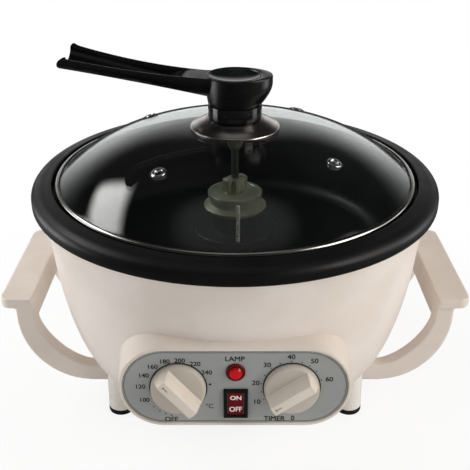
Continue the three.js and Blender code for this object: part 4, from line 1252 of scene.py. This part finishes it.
class ROASTER_OT_feet(PieceOperator, bpy.types.Operator):
    """Four feet with rubber pads"""

    bl_idname = "roaster.feet"
    bl_label = "Feet"

    def build(self, context):
        white = satin_cream("foot_moulding", colour("E8E4DF"), rough=0.32, grain=800)
        rubber = soft_rubber("pad_rubber", colour("101011"))
        leg_line = [(0, 4.3), (9.6, 4.3), (10.2, 4.9), (10.1, 8), (9.3, 40), (0, 40)]
        tread_line = [
            (0, 0), (9.6, 0), (10.2, 0.5), (10.4, 1.2), (10.4, 3.2), (10, 3.9), (9.4, 4), (0, 4),
        ]
        for corner in ("front_left", "front_right", "rear_left", "rear_right"):
            pad = f"foot_pad_{corner}"
            middle = middle_of(pad)
            under = shift(middle.x, middle.y, 0)
            leg = carved(set_at(turned(leg_line, SMALL_ROUND), under), bowl_solid(inset=0.8))
            cover(leg, f"leg_{corner}", f"foot_{corner}", white)
            tread = set_at(turned(tread_line, SMALL_ROUND), under)
            cover(tread, f"tread_{corner}", pad, rubber)


class ROASTER_OT_gland(PieceOperator, bpy.types.Operator):
    """Bush in the back of the bowl"""

    bl_idname = "roaster.gland"
    bl_label = "Cord bush"

    def build(self, context):
        face = high("cord_gland").y
        line = [
            (4, -14.6), (6.5, -14.6), (6.5, -6), (10, -6), (10, -1.2), (9.6, -0.4), (8.8, 0),
            (5.4, 0), (4.5, -0.4), (4, -1.2),
        ]
        bush = turned(line, SMALL_ROUND)
        set_at(bush, shift(0, face, BUSH_LEVEL) @ turn_about("X", -math.pi / 2))
        rubber = soft_rubber("gland_rubber", colour("141414"))
        cover(bush, "gland", "cord_gland", rubber)


class ROASTER_OT_panel(PieceOperator, bpy.types.Operator):
    """Control panel: housing, fascia and printed scales"""

    bl_idname = "roaster.panel"
    bl_label = "Control panel"

    def build(self, context):
        self.panel = panel_frame(self.sizes)
        self.housing()
        self.fascia()
        self.scales()

    def housing(self):
        """A deep oval tub with a rounded edge, a step for the fascia, and its back cut to the bowl."""
        section = (
            (-5.2, -52), (-2.6, -26), (-0.2, -2.2), (0, -1.3), (0.3, -0.5), (0.9, -0.08), (1.5, 0),
            (2.1, -0.2), (2.4, -0.7), (2.4, -3.1), (4.8, -3.1), (4.8, -52),
        )
        shell = bridged(lofted([
            stadium(POD_REACH, POD_RADIUS - inset, height) for inset, height in section
        ], ends=False))
        shell = carved(set_at(shell, self.panel), bowl_solid(inset=0.6))
        cream = satin_cream("housing_moulding", self.tones["handle_cream"], rough=0.34, grain=700)
        cover(shell, "pod", "panel_housing", cream)

    def fascia(self):
        section = ((0.2, -2.8), (0, -2.6), (0, -1.1), (0.3, PRINT_LEVEL))
        plate = lofted([
            stadium(POD_REACH, FASCIA_RADIUS - inset, height) for inset, height in section
        ])
        paint = screen_paint("fascia_paint", self.tones["fascia_grey"])
        cover(set_at(plate, self.panel), "face", "fascia_plate", paint)

    def scales(self):
        """Numbers, words and dots on the fascia."""
        marks = [
            words("LAMP", 3.5, (0, 22.2, PRINT_LEVEL), self.panel, bold=0.11),
            words("TIMER", 3.5, (26.8, -24.8, PRINT_LEVEL), self.panel, bold=0.11, wide=1.02),
            *self.temperatures(-DIAL_SPACING),
            *self.minutes(DIAL_SPACING),
        ]
        ring = ((18.7, 0), (19.5, 0), (19.5, 0.05), (18.7, 0.05))
        for x in (-DIAL_SPACING, DIAL_SPACING):
            marks.append(set_at(turned(ring), self.panel @ shift(x, DIAL_LEVEL, PRINT_LEVEL)))
        marks.append(self.border(FASCIA_RADIUS - 0.9, 0.32))
        ink = print_ink("scale_ink", self.tones["ink"])
        piece(gathered(*marks), "scales", "fascia_plate", ink)

    def temperatures(self, x):
        numbers = (
            ("100", -113, 24.8), ("120", -88, 25.2), ("140", -67, 24.5), ("160", -45, 23.2),
            ("180", -22, 22), ("200", 4, 21.2), ("220", 32, 21.9), ("240", 58, 22.6),
        )
        return [
            *[words(text, 3.2, self.polar(x, angle, reach), self.panel, bold=0.1)
              for text, angle, reach in numbers],
            words("OFF", 3.5, self.polar(x, -168, 25.8), self.panel, bold=0.1),
            words("°C", 3.6, self.polar(x, 125, 25.4), self.panel, bold=0.02),
            dot(0.8, self.polar(x, 83, 21.5), self.panel),
            *[dot(0.5, self.polar(x, angle, 22.8), self.panel) for angle in (-132, -145, -156, -167)],
        ]

    def minutes(self, x):
        numbers = (
            ("0", 177, 24.4), ("10", -116, 25.4), ("20", -81, 24.4), ("30", -43, 24.4),
            ("40", -2, 24), ("50", 35, 25.4), ("60", 75, 25.8),
        )
        dots = (-116, -99, -81, -62, -42, -23, -2, 18, 34, 52, 73, 176)
        return [
            *[words(text, 3.5, self.polar(x, angle, reach), self.panel, bold=0.1)
              for text, angle, reach in numbers],
            *[dot(0.45, self.polar(x, angle, 20.6), self.panel) for angle in dots],
        ]

    def polar(self, x, angle, reach):
        """A place on the fascia, at an angle clockwise from the top of a dial."""
        turn = math.radians(angle)
        return (x + reach * math.sin(turn), DIAL_LEVEL + reach * math.cos(turn), PRINT_LEVEL)

    def border(self, radius, width):
        """A fine printed line that follows the fascia's edge."""
        rows = ((radius, 0), (radius, 0.04), (radius - width, 0.04), (radius - width, 0))
        line = bridged(lofted([
            stadium(POD_REACH, reach, PRINT_LEVEL + lift, steps=32) for reach, lift in rows
        ], ends=False))
        return set_at(line, self.panel)


class ROASTER_OT_dials(PieceOperator, bpy.types.Operator):
    """Temperature and timer knobs, each a disc with a raised bar"""

    bl_idname = "roaster.dials"
    bl_label = "Knobs"

    def build(self, context):
        panel = panel_frame(self.sizes)
        cream = satin_cream("knob_moulding", self.tones["knob_cream"], rough=0.34, grain=800)
        # The disc is the same plastic as the bar; it gets a darker copy of the knob cream as painted shade
        # for its front-facing face.
        shaded_disc_cream = satin_cream("disc_moulding", shade(self.tones["knob_cream"], 0.72), rough=0.4, grain=800)
        ink = print_ink("mark_ink", colour("6E6963"))
        for name, x, turn in (
            ("temperature", -DIAL_SPACING, self.sizes.temperature_pointer),
            ("timer", DIAL_SPACING, self.sizes.timer_pointer),
        ):
            place = panel @ shift(x, DIAL_LEVEL, 0) @ turn_about("Z", turn)
            disc, bar = self.shape()
            cover(set_at(bar, place), f"{name}_dial", f"{name}_knob", cream)
            piece(set_at(disc, place), f"{name}_disc", f"{name}_knob", shaded_disc_cream)
            piece(set_at(self.mark(), place), f"{name}_mark", f"{name}_knob", ink)

    def shape(self):
        """The disc, and the bar that two slanted cuts leave of a cone."""
        back, face, foot, top = -0.3, 4.3, 2.2, 14.7
        foot_width, top_width = 15, 6.4
        disc = turned([
            (SHAFT_BORE, back), (18.2, back), (18.6, back + 0.4), (18.55, back + 2.3),
            (18, face - 0.9), (17.4, face - 0.25), (16.4, face), (SHAFT_BORE, face),
        ])
        bar = bmesh.new()
        bmesh.ops.create_cone(
            bar, cap_ends=True, segments=96, radius1=17.9, radius2=15.9, depth=top - foot)
        bmesh.ops.translate(bar, vec=(0, 0, (top + foot) / 2), verts=bar.verts[:])
        lean = math.atan2((foot_width - top_width) / 2, top - foot)
        for side in (1, -1):
            normal = Vector((0, side * math.cos(lean), math.sin(lean)))
            cut = bmesh.ops.bisect_plane(
                bar, geom=bar.verts[:] + bar.edges[:] + bar.faces[:],
                plane_co=(0, side * top_width / 2, top), plane_no=normal, clear_outer=True)["geom_cut"]
            edges = [item for item in cut if isinstance(item, bmesh.types.BMEdge)]
            bmesh.ops.contextual_create(bar, geom=edges)
        bmesh.ops.recalc_face_normals(bar, faces=bar.faces[:])
        softened(bar, 0.8, angle=math.radians(40))
        return disc, bar

    def mark(self):
        """A printed T on the end of the bar."""
        width, thick, level = 0.5, 0.12, 14.74
        line = slab(4.2, width, thick, (11.2, 0, level))
        tick = slab(width, 2, thick, (13.2, 0, level))
        return gathered(line, tick)


class ROASTER_OT_lamp(PieceOperator, bpy.types.Operator):
    """Red indicator lamp"""

    bl_idname = "roaster.lamp"
    bl_label = "Indicator lamp"

    def build(self, context):
        panel = panel_frame(self.sizes)
        place, radius = Vector((0.4, 12.2, 0)), 6.6
        line = [
            (0, -14.8), (4.8, -14.8), (4.8, -0.5), (radius, -0.5), (radius, 0.2), (6.3, 0.7),
            (5.6, 0.9), (5, 0.85), (4.7, 0.8), (4.5, 1.3), (4.1, 2.2), (3.2, 2.9), (2, 3.25),
            (0.8, 3.3), (0, 3.3),
        ]
        lens = set_at(turned(line, SMALL_ROUND), panel @ shift(*place))
        middle = panel @ place * MM + AXIS
        lean = math.pi / 2 - self.sizes.panel_tilt
        red = lens_red("lamp_red", self.tones["lamp_red"], middle, lean, radius * MM)
        cover(lens, "lamp", "lamp_lens", red)


class ROASTER_OT_switch(PieceOperator, bpy.types.Operator):
    """Power switch: a black frame with a red rocker and its lettering"""

    bl_idname = "roaster.switch"
    bl_label = "Power switch"

    def build(self, context):
        seat = panel_frame(self.sizes) @ shift(0.5, -12.2, -0.5)
        bezel = carved(
            gathered(slab(16.4, 22.4, 1.6, (0, 0, 0.8)), slab(14, 20, 17.4, (0, 0, -8.3))),
            slab(11.4, 17.4, 20, (0, 0, -5)))
        softened(
            bezel, 0.35, segments=2, angle=math.radians(60), only=lambda edge: edge.verts[0].co.z > 0.5)
        black = polished_black("bezel_black", colour("0E0E10"))
        cover(set_at(bezel, seat), "bezel", "switch_frame", black)
        self.rocker(seat)

    def rocker(self, seat):
        """A key that is higher at both ends, with a word on each half."""
        width, lettering = 10.2, 3.3
        line = [
            (-7.9, 2.4), (-8, 2.1), (-8, -2), (-3, -6), (3, -6), (8, -2), (8, 2.1), (7.9, 2.4),
            (4, 1.75), (0, 1.2), (-4, 1.75),
        ]
        body = lofted([[(x, y, z + 1.8) for y, z in line] for x in (-width / 2, width / 2)])
        softened(body, 0.3, segments=2, angle=math.radians(45))
        place = seat @ shift(0, 0.4, -1.6) @ turn_about("X", self.sizes.rocker_tilt)
        red = lit_red("rocker_red", self.tones["rocker_red"])
        cover(set_at(body, place), "rocker_key", "switch_rocker", red)
        slope = math.atan2(1.2, 8)
        upper = place @ shift(0, 4.3, 3.69) @ turn_about("X", slope)
        lower = place @ shift(0, -4.1, 3.66) @ turn_about("X", -slope)
        letters = gathered(*(
            words(text, lettering, (0, 0, 0), half, bold=0.12, lift=0.08)
            for text, half in (("ON", upper), ("OFF", lower))
        ))
        white = print_ink("rocker_white", colour("F4E9E6"))
        piece(letters, "rocker_words", "switch_rocker", white)


class ROASTER_OT_stirrer(PieceOperator, bpy.types.Operator):
    """Stirrer: hub, wing nut, bent wire and shaft"""

    bl_idname = "roaster.stirrer"
    bl_label = "Stirrer"

    def build(self, context):
        metal = self.tones["stirrer_metal"]
        self.hub(cast_metal("hub_metal", metal))
        self.wing(cast_metal("wing_metal", shade(metal, 1.1), rough=0.34))
        self.wire(cast_metal("wire_bright", colour("DCD6C8"), rough=0.3))
        self.shaft(turned_metal("shaft_steel", colour("A9A89E"), rough=0.3))

    def hub(self, metal):
        """A coated carrier over the pan's floor, and the bare casting above it."""
        base, top = low("stirrer_hub").z, high("stirrer_hub").z
        flange = top - 12.5
        neck = flange - 3
        carrier = [
            (SHAFT_BORE, base), (33.6, base), (34, base + 0.5), (34, base + 4), (33, base + 5),
            (18.2, base + 5), (17.6, base + 6), (17.6, neck), (SHAFT_BORE, neck),
        ]
        coated = non_stick("carrier_coating", self.tones["pan_black"], rough=0.34)
        piece(turned(carrier), "carrier", "stirrer_hub", coated)
        casting = [
            (SHAFT_BORE, neck), (21.6, neck), (22, flange - 2.6), (22, flange), (24.9, flange),
            (25.2, flange + 0.3), (25.2, flange + 1.1), (24.8, flange + 1.4), (21, flange + 3),
            (20, flange + 3.6), (20, top - 3.8), (20.4, top - 3.4), (21.5, top - 3.4),
            (21.8, top - 3.1), (21.8, top - 0.6), (21.3, top), (19, top), (18.4, top - 0.5),
            (9, top - 0.5), (8.4, top), (SHAFT_BORE, top),
        ]
        cover(turned(casting), "hub", "stirrer_hub", metal)

    def wing(self, metal):
        """A six-sided nut with two wings."""
        base, half = low("wing_nut").z, 3.6
        barrel = softened(turned([
            (SHAFT_BORE, base), (8.4, base), (8, base + 9.6), (6.6, base + 10.8),
            (SHAFT_BORE, base + 10.8),
        ], steps=6), 0.5, segments=2)
        profile = ((3.6, 0.4), (9, 0.4), (9.7, 5), (9.9, 10.4), (9.2, 11.4), (4.8, 11.4), (4, 10.6))
        tabs = [
            softened(lofted([
                [(side * x, y, base + z) for x, z in profile] for y in (-half, half)
            ]), 0.6, segments=2)
            for side in (1, -1)
        ]
        nut = set_at(gathered(barrel, *tabs), turn_about("Z", math.radians(36)))
        cover(nut, "wing", "wing_nut", metal)

    def wire(self, metal):
        """A bent wire that comes down from the hub and sweeps over the pan's floor."""
        radius = 1.6
        curve = bpy.data.curves.new("wire_line", "CURVE")
        curve.dimensions = "3D"
        curve.bevel_depth = radius
        curve.bevel_resolution = 4
        curve.use_fill_caps = True
        curve.resolution_u = 14
        line = curve.splines.new("BEZIER")
        x, y, top, floor = 2.3, -29.4, 160.5, low("stirrer_wire").z + radius
        sweep, length = math.radians(48), 104
        end = Vector((length * math.sin(sweep), -length * math.cos(sweep), floor + 8))
        spots = [
            ((x, y, top), (x, y, top + 8), (x, y, top - 8)),
            ((x, y, floor + 6), (x, y, floor + 9), (x, y, floor + 2.4)),
            ((x, -35.4, floor), (x, -31.8, floor), (x, -52, floor)),
            (end, end + Vector((-44, -7, -4.8)), end + Vector((9, 3, 1.4))),
        ]
        line.bezier_points.add(len(spots) - 1)
        for knot, (middle, back, ahead) in zip(line.bezier_points, spots):
            knot.co, knot.handle_left, knot.handle_right = middle, back, ahead
        cover(cleaned(from_curve(curve)), "wire", "stirrer_wire", metal)

    def shaft(self, metal):
        base, top, radius = low("drive_shaft").z, high("drive_shaft").z, 3
        line = [(0, base), (radius, base), (radius, top - 0.6), (radius - 0.6, top), (0, top)]
        cover(turned(line, steps=40), "shaft", "drive_shaft", metal)


class ROASTER_OT_works(PieceOperator, bpy.types.Operator):
    """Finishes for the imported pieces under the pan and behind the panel"""

    bl_idname = "roaster.works"
    bl_label = "Inner works"

    def build(self, context):
        handle_screws = [f"handle_screw_{i}" for i in range(1, 5)]
        base_screws = [f"base_screw_{i}" for i in range(1, 4)]
        spindles = ["temperature_spindle", "timer_spindle"]
        finishes = (
            (cast_metal("works_steel", colour("A9ABAE"), rough=0.32),
             ["motor_bridge", "base_plate", "timer_body"]),
            (turned_metal("works_screw", colour("B5B7BA"), rough=0.3, streak=0.1),
             [*handle_screws, *base_screws, "lid_bolt", *spindles]),
            (turned_metal("shield_tin", colour("C2C5C9"), rough=0.25, streak=0.15), ["heat_shield"]),
            (cast_metal("element_tube", colour("5F5B58"), rough=0.5, grain=900), ["heating_element"]),
            (soft_rubber("seal_rubber", colour("1A1A1A")), ["shaft_seal"]),
            (turned_metal("pinion_brass", colour("C9A24A"), rough=0.3, streak=0.1), ["motor_pinion"]),
            (satin_cream("gear_nylon", colour("E0DACA"), rough=0.45), ["drive_gear"]),
            (moulded_black("case_moulding", colour("6E7175"), rough=0.45), ["gear_case"]),
            (cast_metal("motor_can", colour("7B7E82"), rough=0.36), ["motor"]),
            (satin_cream("cutout_ceramic", colour("D8D5CC"), rough=0.5), ["thermal_cutout"]),
            (satin_cream("regulator_moulding", colour("B8B2A4"), rough=0.5), ["thermostat_body"]),
        )
        for material, nodes in finishes:
            for node in nodes:
                for slot in frame["nodes"][node].material_slots:
                    slot.material = material


class ROASTER_OT_studio(PieceOperator, bpy.types.Operator):
    """Pale floor, soft lamps, white background and the camera"""

    bl_idname = "roaster.studio"
    bl_label = "Studio"

    def build(self, context):
        studio = context.scene.roaster_studio
        context.scene.view_settings.view_transform = "Standard"
        self.floor()
        self.room(context, studio)
        white, cool, warm = (1, 1, 1), (1, 0.985, 0.965), (1, 0.955, 0.9)
        side = studio.side_power
        left_share, right_share = 0.62, 1.1
        self.lamp("left_box", (-0.89, 0.347, 0.95), cool, (0.92, 0.44), side * left_share)
        right = self.lamp("right_box", (0.98, -0.4, 0.66), warm, (0.92, 1.05), side * right_share)
        top = self.lamp("top_box", (0, 0.35, 1.35), white, (0.9, 0.5), studio.top_power)
        top.visible_glossy = False
        card_size = (0.26, 0.26)
        left_card = self.lamp("left_card", (-0.45, 0.02, 0.17), white, card_size, studio.card_power)
        right_card = self.lamp(
            "right_card", (0.45, 0.02, 0.17), white, card_size, studio.card_power * 0.5)
        right_card.visible_diffuse = False
        for box in (right, top, left_card, right_card):
            box.visible_transmission = False
        self.camera(context.scene, studio)

    def camera(self, scene, studio):
        camera = linked("camera", bpy.data.cameras.new("camera"))
        camera.data.lens = studio.lens
        camera.data.sensor_width = 36
        camera.data.clip_start = 0.01
        camera.location = Vector(studio.camera_place) + AXIS
        aim = Vector(studio.camera_aim) + AXIS
        camera.rotation_euler = (aim - camera.location).to_track_quat("-Z", "Y").to_euler()
        scene.camera = camera

    def floor(self):
        """A floor that is white to the camera, keeps a soft shadow, and is dark to shiny pieces."""
        bm = bmesh.new()
        bmesh.ops.create_grid(bm, x_segments=2, y_segments=2, size=6)
        mesh = bpy.data.meshes.new("floor")
        bm.to_mesh(mesh)
        bm.free()
        finish = Finish("floor_white")
        pale, dark = (0.9, 0.9, 0.9), (0.25, 0.245, 0.24)
        paint = finish.node("ShaderNodeBsdfDiffuse", None, {
            "Color": finish.tinted(pale, dark, finish.ray("Is Glossy Ray")),
        })
        glow = finish.node("ShaderNodeEmission", None, {"Color": (1, 1, 1, 1), "Strength": 1.0})
        reach = finish.across(finish.round_axis())
        share = finish.first_sight() * finish.band(reach, 0.16, 0.4, 0.86, 1)
        mesh.materials.append(finish.shown(finish.mixed(share, paint, glow)))
        floor = linked("floor", mesh)
        floor.location.z = -0.0003

    def room(self, context, studio):
        """White to the camera, dark with a bright horizon to shiny pieces, soft light for the rest."""
        world = bpy.data.worlds.new("room")
        context.scene.world = world
        world.use_nodes = True
        finish = Finish("room", world.node_tree)
        way = finish.node("ShaderNodeTexCoord", output="Generated")
        x, y, z = finish.parts(way)
        aside = x.worked("ABSOLUTE", x)
        horizon = finish.band(z, 0.13, 0.45, 0.92, 0) * finish.band(y, -0.5, 0.1, 0.2, 1)
        horizon = horizon * finish.band(aside, 0.3, 0.8, 1, 0.2)
        ceiling = finish.band(z, 0.9, 0.97, 0, 0.2)
        bright = horizon.worked("MAXIMUM", horizon, ceiling) + 0.012
        tone = finish.node("ShaderNodeCombineXYZ", None, {0: bright, 1: bright, 2: bright})
        mirrored = finish.node("ShaderNodeBackground", None, {"Color": tone, "Strength": 1.0})
        around = finish.band(z, 0.05, 0.85, 1.4, 0.45) * finish.band(aside, 0.3, 0.95, 0.52, 1.6)
        fill = finish.node("ShaderNodeBackground", None, {
            "Color": (1, 0.985, 0.965, 1), "Strength": around * studio.sky,
        })
        white = finish.node("ShaderNodeBackground", None, {"Color": (1, 1, 1, 1), "Strength": 1.0})
        glossy = finish.ray("Glossy Depth")
        shiny = glossy.worked("MINIMUM", glossy, 1)
        lit = finish.mixed(shiny, fill, mirrored)
        sky = finish.mixed(finish.first_sight(), lit, white)
        finish.node("ShaderNodeOutputWorld", None, {"Surface": sky})
        world.cycles.sampling_method = "NONE"

    def lamp(self, name, place, tint, size, power):
        """A softbox that fades towards its edges and is hidden from the camera."""
        data = bpy.data.lights.new(name, "AREA")
        data.color = tint
        data.shape = "RECTANGLE"
        data.size, data.size_y = size
        data.energy = power
        data.use_nodes = True
        finish = Finish(name, data.node_tree)
        spot = finish.node("ShaderNodeNewGeometry", output="Parametric")
        u, v = finish.parts(spot, "XY")
        sideways = finish.band(u, 0, 0.22) * finish.band(u, 1, 0.78)
        fade = sideways * finish.band(v, 0, 0.3) * finish.band(v, 1, 0.7)
        glow = finish.node("ShaderNodeEmission", None, {"Strength": fade * 1.3})
        finish.node("ShaderNodeOutputLight", None, {"Surface": glow})
        lamp = linked(name, data)
        lamp.location = place
        middle = Vector((0, 0, 0.12))
        lamp.rotation_euler = (middle - Vector(place)).to_track_quat("-Z", "Y").to_euler()
        lamp.visible_camera = False
        return lamp


PIECES = (
    ROASTER_OT_bowl, ROASTER_OT_pan, ROASTER_OT_glass, ROASTER_OT_ring, ROASTER_OT_eyelets,
    ROASTER_OT_knob, ROASTER_OT_lever, ROASTER_OT_handles, ROASTER_OT_feet, ROASTER_OT_gland,
    ROASTER_OT_panel, ROASTER_OT_dials, ROASTER_OT_lamp, ROASTER_OT_switch, ROASTER_OT_stirrer,
    ROASTER_OT_works, ROASTER_OT_studio,
)


class ROASTER_PT_sidebar(bpy.types.Panel):
    """Buttons for the roaster's pieces"""

    bl_idname = "ROASTER_PT_sidebar"
    bl_label = "Coffee bean roaster"
    bl_space_type = "VIEW_3D"
    bl_region_type = "UI"
    bl_category = "Roaster"

    def draw(self, context):
        for operator in PIECES:
            self.layout.operator(operator.bl_idname)
        scene = context.scene
        for group in (scene.roaster_sizes, scene.roaster_finishes, scene.roaster_studio):
            box = self.layout.box()
            for key in type(group).__annotations__:
                box.prop(group, key)


CLASSES = (RoasterSizes, RoasterFinishes, RoasterStudio, *PIECES, ROASTER_PT_sidebar)


def register():
    for item in CLASSES:
        bpy.utils.register_class(item)
    bpy.types.Scene.roaster_sizes = bpy.props.PointerProperty(type=RoasterSizes)
    bpy.types.Scene.roaster_finishes = bpy.props.PointerProperty(type=RoasterFinishes)
    bpy.types.Scene.roaster_studio = bpy.props.PointerProperty(type=RoasterStudio)


def unregister():
    del bpy.types.Scene.roaster_sizes
    del bpy.types.Scene.roaster_finishes
    del bpy.types.Scene.roaster_studio
    for item in reversed(CLASSES):
        bpy.utils.unregister_class(item)


def main():
    register()
    for operator in PIECES:
        getattr(bpy.ops.roaster, operator.bl_idname.split(".")[1])()


if __name__ == "__main__":
    main()
